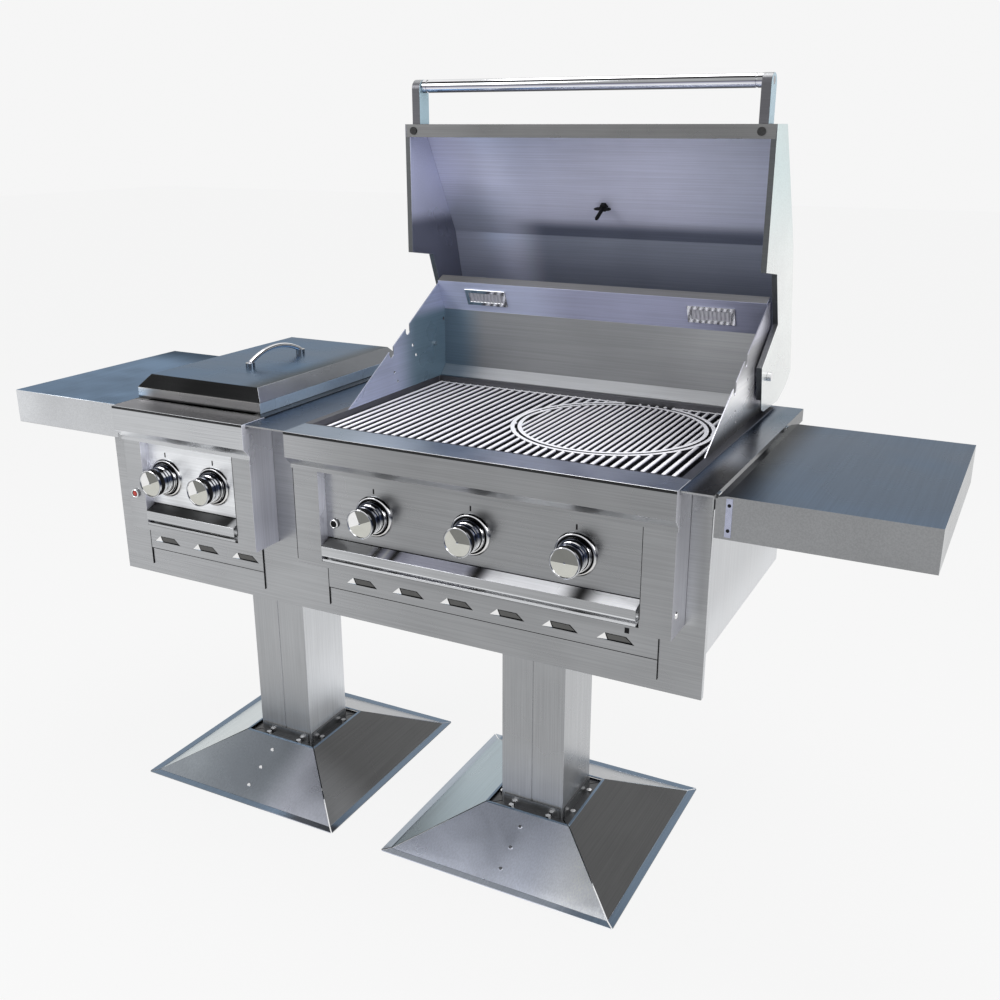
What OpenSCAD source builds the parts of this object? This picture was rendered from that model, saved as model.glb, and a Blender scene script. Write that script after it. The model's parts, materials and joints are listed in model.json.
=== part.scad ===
/* [Deck and cabinet] */
// Height of the deck plate's top above the ground
deck_h = 906; // [850:1:960]
// Width of the deck between the two shelves
deck_w = 1250; // [1230:1:1320]
// Back edge of the deck, measured from the fascia faces
deck_back = 622; // [612:1:680]
// Thickness of the sheet steel
sheet = 2; // [1.5:0.1:2.5]
// Distance of the front panel behind the fascia faces
panel_setback = 90; // [84:1:110]
// Depth that the front panel hangs below the deck
panel_drop = 400; // [360:1:450]
// Overhang of the front panel past the deck on the left, under the shelf
panel_over_left = 98; // [60:1:140]
// Inset of the front panel from the deck on the right
panel_inset_right = 21; // [15:1:40]
// Depth of the cabinet's side walls below the deck
wall_drop = 316; // [300:1:350]
// Depth of the cabinet from its front panel to its back panel
cabinet_d = 500; // [495:1:515]

/* [Shelves] */
// Width of the left shelf
left_shelf_w = 288; // [200:1:400]
// Width of the right shelf
right_shelf_w = 313; // [200:1:380]
// Gap between the deck and the right shelf
shelf_gap = 19; // [16:1:26]
// Depth of both shelves
shelf_d = 480; // [400:1:560]
// Height of the skirt round each shelf
shelf_skirt = 68; // [60:1:76]

/* [Grill head] */
// Width of the grill head
grill_w = 762; // [755:1:800]
// Distance from the grill head to the deck's right edge
grill_margin = 55; // [50:1:70]
// Depth of the heads below the deck
head_drop = 264; // [258:1:285]
// Height of the fascia's upright face
fascia_face = 50; // [44:1:54]
// Depth of the ledge on top of the fascia
ledge_d = 68; // [62:1:72]
// Width of the grill head's front posts
grill_post_w = 57; // [45:1:65]
// Distance between knob axes on the grill
knob_pitch = 204; // [180:1:215]
// Depth of the fire box opening
firebox_d = 480; // [470:1:490]
// Number of cooking bars
bar_count = 40; // [34:1:43]
// Diameter of a cooking bar
bar_d = 8; // [6:0.5:9]
// Radius of the round grate insert
insert_r = 182; // [150:1:184]
// Number of bars in the round grate insert
insert_bars = 25; // [19:2:27]

/* [Side burner] */
// Width of the side burner head
side_w = 335; // [328:1:345]
// Width of the side burner's front posts
side_post_w = 45; // [38:1:48]
// Distance between knob axes on the side burner
side_knob_pitch = 125; // [110:1:130]
// Width of the lid
lid_w = 320; // [310:1:324]
// Depth of the lid
lid_d = 513; // [480:1:520]
// Height of the lid's upright skirt
lid_skirt = 22; // [16:1:26]
// Height of the lid's bevel
lid_bevel = 25; // [20:1:30]
// Span of the lid handle between its feet
lid_handle_span = 174; // [140:1:200]

/* [Hood] */
// Distance from the hinge to the front of the closed hood
hood_reach = 461; // [450:1:464]
// Height of the closed hood's upright front
hood_front = 72; // [64:1:80]
// Height of the hood's ridge above the hinge
hood_ridge = 198; // [190:1:215]
// Height of the hinge above the deck
hinge_h = 79; // [79:1:84]
// Width of the lip along the hood's open edge
lip_w = 25; // [20:1:30]
// Diameter of the handle tube
handle_d = 25; // [20:1:28]
// Reach of the handle brackets
handle_reach = 85; // [70:1:100]

/* [Knobs] */
// Diameter of a knob's grip
knob_d = 56; // [46:1:60]
// Length of a knob
knob_len = 37; // [34:1:40]
// Diameter of a bezel's flange
bezel_d = 80; // [66:1:84]
// Diameter of a valve stem
stem_d = 8; // [6:0.5:9]

/* [Pedestals] */
// Distance between the two posts
post_spacing = 648; // [560:1:700]
// Distance of the right post from the deck's right edge
post_inset = 413; // [360:1:450]
// Distance of the posts' axes behind the fascia faces
post_y = 314; // [290:1:340]
// Side of a square post
post_w = 142; // [120:1:150]
// Wall of a square post
post_wall = 4; // [3:0.5:6]
// Side of a pyramid base
base_w = 522; // [500:1:600]
// Side of the opening at the top of a pyramid
base_top_w = 186; // [180:1:196]
// Height of a pyramid
base_rise = 74; // [66:1:90]
// Width of the flat rim round a pyramid
base_rim = 16; // [10:1:20]
// Distance between anchor holes
anchor_pitch = 300; // [260:1:320]
// Diameter of an anchor hole
anchor_d = 14; // [10:1:18]

/* [Hidden] */
$fn = 48;
cut = 1;
slack = 0.3;
fit_gap = 0.1;
touch = 0.2;

deck_t = sheet;
top_z = deck_h + sheet;
shelf_left_x = -(left_shelf_w + deck_w + shelf_gap + right_shelf_w) / 2;
deck_x0 = shelf_left_x + left_shelf_w;
deck_x1 = deck_x0 + deck_w;
shelf_x0 = deck_x1 + shelf_gap;
shelf_x1 = shelf_x0 + right_shelf_w;
shelf_front = 10;
deck_front = shelf_front + sheet;
deck_lip = 3;
deck_flange = 25;
shelf_edge_x = deck_x1 + 6;
shelf_edge_drop = 3;

panel_x0 = deck_x0 - panel_over_left;
panel_x1 = deck_x1 - panel_inset_right;
panel_z0 = deck_h - panel_drop;
panel_top = deck_h - deck_t;
panel_return = 12;
wall_y0 = panel_setback + panel_return;
wall_z0 = deck_h - wall_drop;
floor_lip = 60;
cab_back = panel_setback + cabinet_d;

head_z0 = deck_h - head_drop;
post_face = 18;
control_y = 40;
member_h = 14;
tray_z = head_z0 + member_h;
tray_front_h = 31;
tray_lip_z = tray_z + tray_front_h;
tray_front_y = 12;
tray_apron = 19;
tray_sill_rise = 9;
tray_wall_y = tray_front_y + 16;
control_z0 = tray_lip_z + 10;
chamfer_z = deck_h - 64;
control_z1 = chamfer_z + 12;
head_back = 588;
head_clear = 0.5;

grill_x1 = deck_x1 - grill_margin;
grill_x0 = grill_x1 - grill_w;
grill_c = (grill_x0 + grill_x1) / 2;
frame_in = 3;
post_lap = 40;
grill_fx0 = grill_x0 + frame_in;
grill_fx1 = grill_x1 - frame_in;
side_x0 = deck_x0 + 1;
side_x1 = side_x0 + side_w;
side_c = (side_x0 + side_x1) / 2;
side_fx0 = side_x0 + frame_in;
side_fx1 = side_x1 - frame_in;
tray_gap = 4;

knob_z = deck_h - 150;
side_knob_z = deck_h - 149;
grill_knobs = [for (i = [-1:1]) grill_c - 7.5 + i * knob_pitch];
side_knobs = [for (i = [-1, 1]) side_c - 12.5 + i * side_knob_pitch / 2];
bezel_step = 6;
bezel_y = control_y - 2 * bezel_step;
knob_back = bezel_y - 1;
knob_front = knob_back - knob_len;
stem_front = knob_front + 12;
button_d = 12;
button_travel = 3;
grill_button_x = grill_fx0 + grill_post_w + 19;
grill_button_z = deck_h - 179;
side_button_x = side_fx0 + 21;
side_button_z = deck_h - 186;

manifold_d = 20;
manifold_y = 57;
manifold_z = deck_h - 171;
feed_z = head_z0 + 29;
feed_y = 520;
valve_w = 24;
valve_y = manifold_y - 11;
burner_d = 30;
tamer_w = 124;
tamer_low = 30;
tamer_high = 72;

firebox_y0 = ledge_d + sheet;
firebox_y1 = firebox_y0 + firebox_d;
firebox_x0 = grill_x0 + 14;
firebox_x1 = grill_x1 - 15;
firebox_z0 = tray_z + 44;
rim_back = 600;
bar_top = deck_h - 9;
grate_z = bar_top - bar_d / 2;
grate_y0 = firebox_y0 + 4;
grate_y1 = firebox_y1 - 4;
bar_x0 = firebox_x0 + sheet + bar_d / 2 + 4;
bar_x1 = firebox_x1 - sheet - bar_d / 2 - 4;
bar_pitch = (bar_x1 - bar_x0) / (bar_count - 1);
insert_x = grill_c + 134;
insert_gap = 2;
insert_pitch = 2 * (insert_r - 19) / (insert_bars - 1);
ring_w = 8;
insert_y = grate_y1 - insert_r - insert_gap - 1.5 * ring_w;

pivot_y = 529;
pivot_z = deck_h + hinge_h;
side_panel_x0 = firebox_x0;
side_panel_x1 = firebox_x1;
side_panel_y0 = 190;
rear_y = 578;
rear_foot_y = firebox_y1 + 4;
rear_foot_z = deck_h + 25;
bar_foot_z = deck_h + 150;
bar_lean = 31;
bar_rise = 65;
lamp_w = 88;
lamp_h = 30;
lamp_offset = 252;

hood_x0 = grill_x0;
hood_x1 = grill_x1;
hood_bottom = -hinge_h + 5;
hood_top = hood_bottom + hood_front;
hood_open = 90;
hood_shell = [[-hood_reach, hood_bottom], [-hood_reach, hood_top], [-234, hood_ridge - 71],
    [27, hood_ridge], [51, hood_ridge - 36], [70, hood_ridge - 98]];
hood_edge = [[-hood_reach, hood_bottom], [-205, hood_bottom], [-193, 10], [-92, 51],
    [-25, -50], [60, -31], [67, -13]];
hood_flange = 9;
bracket_w = 18;
bracket_in = 17;
bracket_d = 36;
handle_y = 20;
gauge_d = 76;
gauge_hole_d = 12;
gauge_t = 0.7;
pin_d = 10;

lid_x0 = side_x0 - 4;
lid_y0 = 80;
lid_inset = 21;
lid_z = top_z + slack;
lid_rod_d = 10;
lid_handle_h = 30;

hinge_x = deck_x1 + 10;
hinge_z = deck_h - 56;
shelf_pin_d = 8;
ear_t = 4;
ear_y = [24, shelf_front + shelf_d - 24];

right_post_x = deck_x1 - post_inset;
left_post_x = right_post_x - post_spacing;
post_xs = [left_post_x, right_post_x];
base_plate_w = 360;
base_plate_t = 10;
cap_w = 240;
cap_t = 8;
leg_z = base_rise - 6;
leg_t = 4;
leg_w = 130;
leg_rise = 22;
leg_y = -base_top_w / 2 - 4;
mitre_gap = 1.5;
rib_t = 12;
screw_count = 3;

louvre_w = 72;
louvre_top_w = 40;
louvre_h = 14;
louvre_depth = 9;
louvre_pitch = 107;
row_in_left = 18;
row_in_right = 44;
row_over = 25;
strip_drop = 76;
strip_z0 = head_z0 - strip_drop;
louvre_z = strip_z0 + 17;
strip_z1 = head_z0 - 2;
strip_t = 2;

front_y = knob_front;
back_y = pivot_y + hood_ridge;
centre_y = (front_y + back_y) / 2;

steel = [0.66, 0.66, 0.68];
bright = [0.85, 0.85, 0.87];
dark = [0.12, 0.12, 0.13];
brass = [0.75, 0.62, 0.35];

// A bent sheet's outline: the outer line, then the same line shifted by the thickness to its left
function unit(v) = v / norm(v);
function left_of(a, b) = let (d = unit(b - a)) [-d[1], d[0]];
function mitre(p, i, t) =
    let (n = len(p), a = left_of(p[max(i - 1, 0)], p[max(i, 1)]),
        b = left_of(p[min(i, n - 2)], p[min(i + 1, n - 1)]))
    p[i] + t * (a + b) / (1 + a * b);
function bent(p, t) = concat(p, [for (i = [len(p) - 1:-1:0]) mitre(p, i, t)]);
function mid(a, b, k) = a + (b - a) * k;

// Puts the fascia-based frame on the part's own origin
module place() {
    translate([0, -centre_y, 0]) children();
}
// A box between two corners
module box(a, b) {
    translate(a) cube(b - a);
}
// Extrudes a side outline, drawn as [y, z], from x0 to x1
module along_x(x0, x1) {
    translate([x0, 0, 0]) rotate([90, 0, 90]) linear_extrude(x1 - x0) children();
}
// Extrudes a front outline, drawn as [x, z], from y0 to y1
module along_y(y0, y1) {
    translate([0, y1, 0]) rotate([90, 0, 0]) linear_extrude(y1 - y0) children();
}
// A round bar along Y
module rod_y(x, y0, y1, z, d) {
    translate([x, y1, z]) rotate([90, 0, 0]) cylinder(d = d, h = y1 - y0);
}
// A round bar along X
module rod_x(x0, x1, y, z, d) {
    translate([x0, y, z]) rotate([0, 90, 0]) cylinder(d = d, h = x1 - x0);
}

module post(x) {
    groove_w = 3;
    difference() {
        translate([x - post_w / 2, post_y - post_w / 2, base_plate_t])
            cube([post_w, post_w, wall_z0 - cap_t - base_plate_t]);
        translate([x - post_w / 2 + post_wall, post_y - post_w / 2 + post_wall, base_plate_t - cut])
            cube([post_w - 2 * post_wall, post_w - 2 * post_wall, wall_z0]);
        for (y = [post_y - post_w / 2, post_y + post_w / 2])
            translate([x - groove_w / 2, y - post_wall / 3, base_plate_t - cut])
                cube([groove_w, post_wall * 2 / 3, wall_z0]);
    }
}
module left_post() color(steel) place() post(left_post_x);
module right_post() color(steel) place() post(right_post_x);

// Places children at a post's foot, turned to each of its four sides; local -Y points outwards
module foot_side(x, i) {
    translate([x, post_y, 0]) rotate([0, 0, 90 * i]) children();
}
// Under side of a pyramid skirt as [y, z], from its outer edge to its top edge
skirt_line = [[-base_w / 2, 0], [-base_w / 2 + base_rim, 0],
    [-base_top_w / 2 - 4, base_rise - sheet], [-base_top_w / 2, base_rise - sheet]];
skirt_run = base_w / 2 - base_rim - base_top_w / 2 - 4;
skirt_slope = atan((base_rise - sheet) / skirt_run);
// Axis of skirt screw number k, with +Z along the outward normal, on the skirt's upper face
module skirt_screw_at(x, k) {
    s = 0.2 + 0.3 * k;
    foot_side(x, 0)
        translate([0, skirt_line[1][0] + skirt_run * s, (base_rise - sheet) * s])
            rotate([skirt_slope, 0, 0]) translate([0, 0, sheet]) children();
}

module base_plates() color(steel) place() {
    for (x = post_xs) difference() {
        union() {
            translate([x - base_plate_w / 2, post_y - base_plate_w / 2, 0])
                cube([base_plate_w, base_plate_w, base_plate_t]);
            for (i = [0:3]) foot_side(x, i) along_x(-rib_t / 2, rib_t / 2) polygon([
                [-post_w / 2 - leg_t, base_plate_t - cut], [-post_w / 2 - leg_t, leg_z - leg_t],
                [leg_y, leg_z - leg_t],
                skirt_line[2], mid(skirt_line[2], skirt_line[1], 0.84),
                [skirt_line[1][0] + 28, base_plate_t - cut]]);
        }
        for (sx = [-1, 1], sy = [-1, 1])
            translate([x + sx * anchor_pitch / 2, post_y + sy * anchor_pitch / 2, -cut])
                cylinder(d = anchor_d, h = base_plate_t + 2 * cut);
        for (k = [0:screw_count - 1]) skirt_screw_at(x, k)
            translate([0, 0, -14]) cylinder(d = 4.4, h = 16);
    }
}

module skirts(x) {
    reach = base_w / 2 + cut;
    for (i = [0:3]) difference() {
        foot_side(x, i) intersection() {
            along_x(-reach, reach) polygon(bent(skirt_line, sheet));
            translate([0, -mitre_gap, -cut])
                linear_extrude(base_rise + 2 * cut) polygon([[0, 0], [-reach, -reach], [reach, -reach]]);
        }
        if (i == 0) for (k = [0:screw_count - 1]) skirt_screw_at(x, k)
            translate([0, 0, -6]) cylinder(d = 4.4, h = 12);
    }
}
module left_base_skirts() color(steel) place() skirts(left_post_x);
module right_base_skirts() color(steel) place() skirts(right_post_x);

module post_foot_brackets() color(steel) place() {
    for (x = post_xs, i = [0:3]) foot_side(x, i) difference() {
        union() {
            along_x(-leg_w / 2, leg_w / 2) polygon([[-post_w / 2, leg_z - leg_t], [leg_y, leg_z - leg_t],
                [leg_y, leg_z], [-post_w / 2 - leg_t, leg_z], [-post_w / 2 - leg_t, leg_z + leg_rise],
                [-post_w / 2, leg_z + leg_rise]]);
            translate([0, 0, leg_z - leg_t]) linear_extrude(leg_t) polygon([
                [post_w / 2 - mitre_gap, -post_w / 2], [-leg_y - mitre_gap, leg_y],
                [leg_y + mitre_gap, leg_y], [-post_w / 2 + mitre_gap, -post_w / 2]]);
        }
        for (s = [-1, 1]) translate([s * leg_w / 3, -post_w / 2 - leg_t - 8, leg_z - 2 * leg_t])
            cylinder(d = 6.4, h = 3 * leg_t);
    }
}
module foot_bolts() color(bright) place() {
    for (x = post_xs, i = [0:3], s = [-1, 1]) foot_side(x, i)
        translate([s * leg_w / 3, -post_w / 2 - leg_t - 8, leg_z]) {
            cylinder(d = 12, h = 6, $fn = 6);
            translate([0, 0, -12]) cylinder(d = 6, h = 13);
            translate([0, 0, -leg_t - 5]) cylinder(d = 11, h = 5, $fn = 6);
        }
}
module skirt_screws() color(bright) place() {
    for (x = post_xs, k = [0:screw_count - 1]) skirt_screw_at(x, k) {
        cylinder(d1 = 9, d2 = 7, h = 2);
        translate([0, 0, -12]) cylinder(d = 4, h = 12.5);
    }
}
module post_caps() color(steel) place() {
    for (x = post_xs) translate([x - cap_w / 2, post_y - cap_w / 2, wall_z0 - cap_t])
        cube([cap_w, cap_w, cap_t]);
}

feed_x = grill_fx0 + 31;
side_feed_x = side_fx1 - 22;
module cabinet_floor() color(steel) place() {
    difference() {
        box([panel_x0 + sheet, wall_y0, wall_z0], [panel_x1 - sheet, cab_back - sheet, wall_z0 + sheet]);
        translate([feed_x, feed_y, wall_z0 - cut]) cylinder(d = manifold_d + 10, h = sheet + 2 * cut);
    }
    box([panel_x0 + sheet, wall_y0, wall_z0 - floor_lip],
        [panel_x1 - sheet, wall_y0 + sheet, wall_z0 + touch]);
}
module front_panel() color(steel) place() {
    difference() {
        box([panel_x0, panel_setback, panel_z0], [panel_x1, panel_setback + sheet, panel_top]);
        box([grill_fx0 - head_clear, panel_setback - cut, head_z0 - head_clear],
            [grill_fx1 + head_clear, panel_setback + sheet + cut, panel_top + cut]);
        box([side_fx0 - head_clear, panel_setback - cut, head_z0 - head_clear],
            [side_fx1 + head_clear, panel_setback + sheet + cut, panel_top + cut]);
        for (r = vent_rows) for (i = [0:r[2] - 1])
            translate([louvre_x(r, i) - louvre_w / 2 - 5, panel_setback - cut, louvre_z - 4])
                cube([louvre_w + 10, sheet + 2 * cut, louvre_h + 14]);
    }
    for (x = [panel_x0, panel_x1 - sheet])
        box([x, panel_setback + sheet - touch, panel_z0], [x + sheet, wall_y0, panel_top]);
    box([panel_x0, panel_setback + sheet - touch, panel_z0],
        [panel_x1, wall_y0, panel_z0 + sheet]);
}
module left_side_wall() color(steel) place()
    box([panel_x0, wall_y0, wall_z0], [panel_x0 + sheet, cab_back, panel_top]);
module right_side_wall() color(steel) place()
    box([panel_x1 - sheet, wall_y0, wall_z0], [panel_x1, cab_back, panel_top]);
module back_panel() color(steel) place()
    box([panel_x0 + sheet, cab_back - sheet, wall_z0], [panel_x1 - sheet, cab_back, panel_top]);

// Room for the turned-down back edge of a fascia's ledge
module ledge_slot(x0, x1) {
    box([x0 - head_clear, ledge_d - sheet - head_clear, deck_h - 20 - head_clear],
        [x1 + head_clear, ledge_d + head_clear, deck_h + cut]);
}
module deck() color(steel) place() {
    difference() {
        box([panel_x0, deck_front, deck_h - deck_t], [deck_x1, deck_back, deck_h]);
        for (h = [[grill_fx0, grill_fx1, firebox_x0 - 1, firebox_x1 + 1],
                [side_fx0, side_fx1, tub_x0 - 1, tub_x1 + 1]]) {
            box([h[0], deck_front - cut, deck_h - 2 * deck_t], [h[1], ledge_d, deck_h + cut]);
            box([h[2], ledge_d - cut, deck_h - 2 * deck_t], [h[3], firebox_y1 + 1, deck_h + cut]);
            ledge_slot(h[0] - frame_in, h[1] + frame_in);
        }
    }
    for (x = [[side_x1 + 0.5, grill_x0 - 0.5], [grill_x1 + 0.5, deck_x1]])
        box([x[0], shelf_front, deck_h - deck_lip], [x[1], deck_front, deck_h]);
    box([deck_x1 - sheet, deck_front - touch, deck_h - deck_flange],
        [deck_x1, deck_back, deck_h - touch]);
    box([panel_x0, deck_back - sheet, deck_h - deck_flange], [deck_x1, deck_back, deck_h - touch]);
}

// Louvre rows: left end, right end and count
vent_rows = [[grill_fx0 + row_in_left, grill_fx1 - row_in_right, 6],
    [side_fx0 - row_over, side_fx1 - row_in_right, 3]];
// Middle of louvre number i in row r
function louvre_x(r, i) = (r[0] + r[1]) / 2 + (i - (r[2] - 1) / 2) * louvre_pitch;
module louvre_hole(x) {
    translate([x, 0, louvre_z]) along_y(panel_setback - strip_t - cut, panel_setback + cut)
        polygon([[-louvre_w / 2, 0], [louvre_w / 2, 0], [louvre_top_w / 2, louvre_h],
            [-louvre_top_w / 2, louvre_h]]);
}
// The flap of a louvre, bent back from the hole's top edge
module louvre_flap(x) {
    y = panel_setback - strip_t;
    translate([x, 0, louvre_z]) along_x(-louvre_top_w / 2, louvre_top_w / 2)
        polygon([[y, louvre_h], [y + louvre_depth, 0], [y + louvre_depth + strip_t / 2, 0],
            [y + strip_t, louvre_h - strip_t / 2], [y + strip_t, louvre_h + touch],
            [y, louvre_h + touch]]);
}
module vent_strips() color(steel) place() {
    for (r = vent_rows) {
        difference() {
            box([r[0], panel_setback - strip_t, strip_z0], [r[1], panel_setback, strip_z1]);
            for (i = [0:r[2] - 1]) louvre_hole(louvre_x(r, i));
        }
        for (i = [0:r[2] - 1]) louvre_flap(louvre_x(r, i));
    }
}

module left_shelf() color(steel) place() {
    z0 = top_z - shelf_skirt - sheet;
    y1 = shelf_front + shelf_d;
    box([shelf_left_x, shelf_front, deck_h], [deck_x0, y1, top_z]);
    box([shelf_left_x, shelf_front, z0], [deck_x0, deck_front, deck_h + touch]);
    box([shelf_left_x, deck_front - touch, z0], [shelf_left_x + sheet, y1, deck_h + touch]);
    box([shelf_left_x, y1 - sheet, z0], [panel_x0, y1, deck_h + touch]);
}
module right_shelf() color(steel) place() {
    z0 = top_z - shelf_skirt - sheet;
    y1 = shelf_front + shelf_d;
    difference() {
        union() {
            box([shelf_x0, shelf_front, deck_h], [shelf_x1, y1, top_z]);
            along_y(shelf_front, y1) polygon([[shelf_x0 + touch, deck_h],
                [shelf_x0 + touch, top_z], [shelf_edge_x, top_z - shelf_edge_drop],
                [shelf_edge_x, deck_h - shelf_edge_drop]]);
            for (y = [shelf_front, y1 - sheet]) along_y(y, y + sheet) polygon([
                [deck_x1 + 3, z0], [shelf_x1, z0], [shelf_x1, deck_h + touch],
                [shelf_x0, deck_h + touch], [shelf_edge_x, deck_h - shelf_edge_drop + touch],
                [deck_x1 + 3, deck_h - shelf_edge_drop + touch]]);
            box([shelf_x1 - sheet, shelf_front, z0], [shelf_x1, y1, deck_h + touch]);
            for (y = ear_y) box([shelf_x0, y + ear_t + slack, hinge_z - 10],
                [shelf_x0 + sheet, y + ear_t + slack + 16, deck_h + touch]);
            for (y = ear_y) box([hinge_x - 8, y + ear_t + slack, hinge_z - 10],
                [shelf_x0 + sheet, y + 2 * ear_t + slack, hinge_z + 10]);
        }
        for (y = ear_y) rod_y(hinge_x, y + ear_t, y + 2 * ear_t + 2, hinge_z,
            shelf_pin_d + 2 * fit_gap);
    }
}
module shelf_hinge_brackets() color(steel) place() {
    for (y = ear_y) {
        box([deck_x1, y, hinge_z - 10], [hinge_x + 8, y + ear_t, deck_h - 12]);
        box([deck_x1, y + ear_t - touch, deck_h - deck_flange + sheet],
            [deck_x1 + 3, y + 20, deck_h - sheet]);
        rod_y(hinge_x, y + ear_t - touch, y + 2 * ear_t + 5, hinge_z, shelf_pin_d);
    }
}

// A head's front rail: ledge, upright face, chamfer, the tab that laps the posts and end plates
module fascia(x0, x1) {
    line = [[post_face - sheet, chamfer_z - 8], [post_face - sheet, chamfer_z],
        [0, top_z - fascia_face], [0, top_z], [ledge_d, top_z], [ledge_d, deck_h - 20]];
    along_x(x0, x1) polygon(bent(line, -sheet));
    for (x = [x0, x1 - sheet]) along_x(x, x + sheet) polygon([[post_face - sheet + touch, chamfer_z],
        [touch, top_z - fascia_face], [touch, top_z - touch], [deck_front - 0.5, top_z - touch],
        [deck_front - 0.5, deck_h - 8], [post_face + sheet, deck_h - 8], [post_face + sheet, chamfer_z]]);
}
module grill_fascia() color(steel) place() fascia(grill_x0, grill_x1);
module side_fascia() color(steel) place() fascia(side_x0, side_x1);

// A head's frame: front posts with their returns, side walls and floor with its front member
module head_frame(x0, x1, post) {
    back = head_back;
    top = deck_h - deck_t;
    difference() {
        union() {
            for (s = [[x0, x0 + post, x0, x0 + post - sheet], [x1 - post, x1, x1 - sheet, x1 - post]]) {
                box([s[0], post_face, head_z0], [s[1], post_face + sheet, chamfer_z + post_lap]);
                box([s[2], post_face + sheet - touch, head_z0], [s[2] + sheet, back, top]);
                box([s[3], post_face + sheet - touch, head_z0],
                    [s[3] + sheet, control_y + sheet, chamfer_z + post_lap]);
            }
            box([x0, post_face + sheet - touch, head_z0], [x1, back, head_z0 + sheet]);
            box([x0 + post - touch, post_face, head_z0], [x1 - post + touch, post_face + sheet, tray_z]);
            for (x = [x0 + post + 6, x1 - post - 16])
                box([x, post_face + 8, head_z0 + sheet - touch], [x + 10, back - 20, tray_z]);
            for (x = [x0, x1 - sheet]) along_x(x, x + sheet) polygon([
                [post_face + sheet, chamfer_z - 8], [post_face + touch, chamfer_z - 8],
                [post_face + touch, chamfer_z + 2.5], [sheet + 1.5, top_z - fascia_face + 2.5],
                [sheet + 1.5, top], [post_face + sheet, top]]);
        }
        ledge_slot(x0 - frame_in, x1 + frame_in);
        children();
    }
}
module grill_frame() color(steel) place() {
    head_frame(grill_fx0, grill_fx1, grill_post_w) {
        translate([feed_x, feed_y, head_z0 - cut]) cylinder(d = manifold_d + 4, h = 5);
        rod_x(grill_fx0 - 5, grill_fx0 + 5, feed_y, feed_z, manifold_d + 4);
    }
}
module side_frame() color(steel) place() {
    head_frame(side_fx0, side_fx1, side_post_w) {
        rod_x(side_fx1 - 5, side_fx1 + 5, feed_y, feed_z, manifold_d + 4);
        rod_y(side_button_x, post_face - cut, post_face + sheet + cut, side_button_z, button_d + 1);
    }
}

// A recessed control panel between a head's posts
module control_panel(x0, x1, knobs, kz) {
    difference() {
        union() {
            box([x0, control_y, control_z0], [x1, control_y + sheet, control_z1]);
            box([x0, control_y + sheet - touch, control_z0], [x1, control_y + 12, control_z0 + sheet]);
        }
        for (x = knobs) rod_y(x, control_y - cut, control_y + sheet + cut, kz, stem_d + 4);
        children();
    }
}
module grill_control_panel() color(steel) place()
    control_panel(grill_fx0 + grill_post_w, grill_fx1 - grill_post_w, grill_knobs, knob_z)
        rod_y(grill_button_x, control_y - cut, control_y + sheet + cut, grill_button_z, button_d + 1);
module side_control_panel() color(steel) place()
    control_panel(side_fx0 + side_post_w, side_fx1 - side_post_w, side_knobs, side_knob_z);

// A drip tray that slides out under the control panel
module drip_tray(x0, x1) {
    z = tray_z + slack;
    y1 = head_back - 30;
    sill_z = tray_lip_z + tray_sill_rise;
    wall_top = mid(tray_lip_z, sill_z, (tray_wall_y - tray_front_y) / (control_y - 1 - tray_front_y));
    along_x(x0, x1) polygon(bent([[tray_front_y, tray_lip_z - tray_apron], [tray_front_y, tray_lip_z],
        [control_y - 1, sill_z]], -sheet));
    box([x0, tray_wall_y, z], [x1, tray_wall_y + sheet, wall_top - sheet / 2]);
    box([x0, tray_front_y + sheet, z], [x1, y1, z + 1.5]);
    box([x0, tray_front_y + sheet, z], [x1, tray_front_y + sheet + 1.5, z + 5]);
    for (x = [x0, x1 - 1.5])
        box([x, tray_wall_y + sheet - touch, z], [x + 1.5, y1, tray_lip_z - 3]);
    box([x0, y1 - 1.5, z], [x1, y1, tray_lip_z - 3]);
}
module grill_drip_tray() color(bright) place()
    drip_tray(grill_fx0 + grill_post_w + tray_gap, grill_fx1 - grill_post_w - tray_gap);
module side_drip_tray() color(bright) place()
    drip_tray(side_fx0 + side_post_w + tray_gap, side_fx1 - side_post_w - tray_gap);

// An open tub with a rim that lies on the deck
module tub(x0, x1, y1, z0, rim_x0, rim_x1) {
    difference() {
        union() {
            box([x0, firebox_y0, z0], [x1, y1, deck_h + touch]);
            box([rim_x0, ledge_d + sheet / 2, deck_h], [rim_x1, rim_back, top_z]);
        }
        box([x0 + sheet, firebox_y0 + sheet, z0 + sheet], [x1 - sheet, y1 - sheet, top_z + cut]);
        children();
    }
}
module firebox() color(steel) place() {
    tub(firebox_x0, firebox_x1, firebox_y1, firebox_z0, grill_x0, grill_x1) {
        box([firebox_x0 + 100, 160, firebox_z0 - cut], [firebox_x1 - 100, 460, firebox_z0 + 2 * sheet]);
        for (x = grill_knobs) rod_y(x, firebox_y0 - cut, firebox_y0 + sheet + cut, knob_z, burner_d + touch);
    }
    for (y = [firebox_y0 + sheet - touch, firebox_y1 - sheet - 12])
        box([firebox_x0 + sheet - touch, y, bar_top - bar_d - sheet],
            [firebox_x1 - sheet + touch, y + 12 + touch, bar_top - bar_d]);
}

panel_slope = [[side_panel_y0, top_z], [pivot_y + 29, deck_h + 214]];
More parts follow.
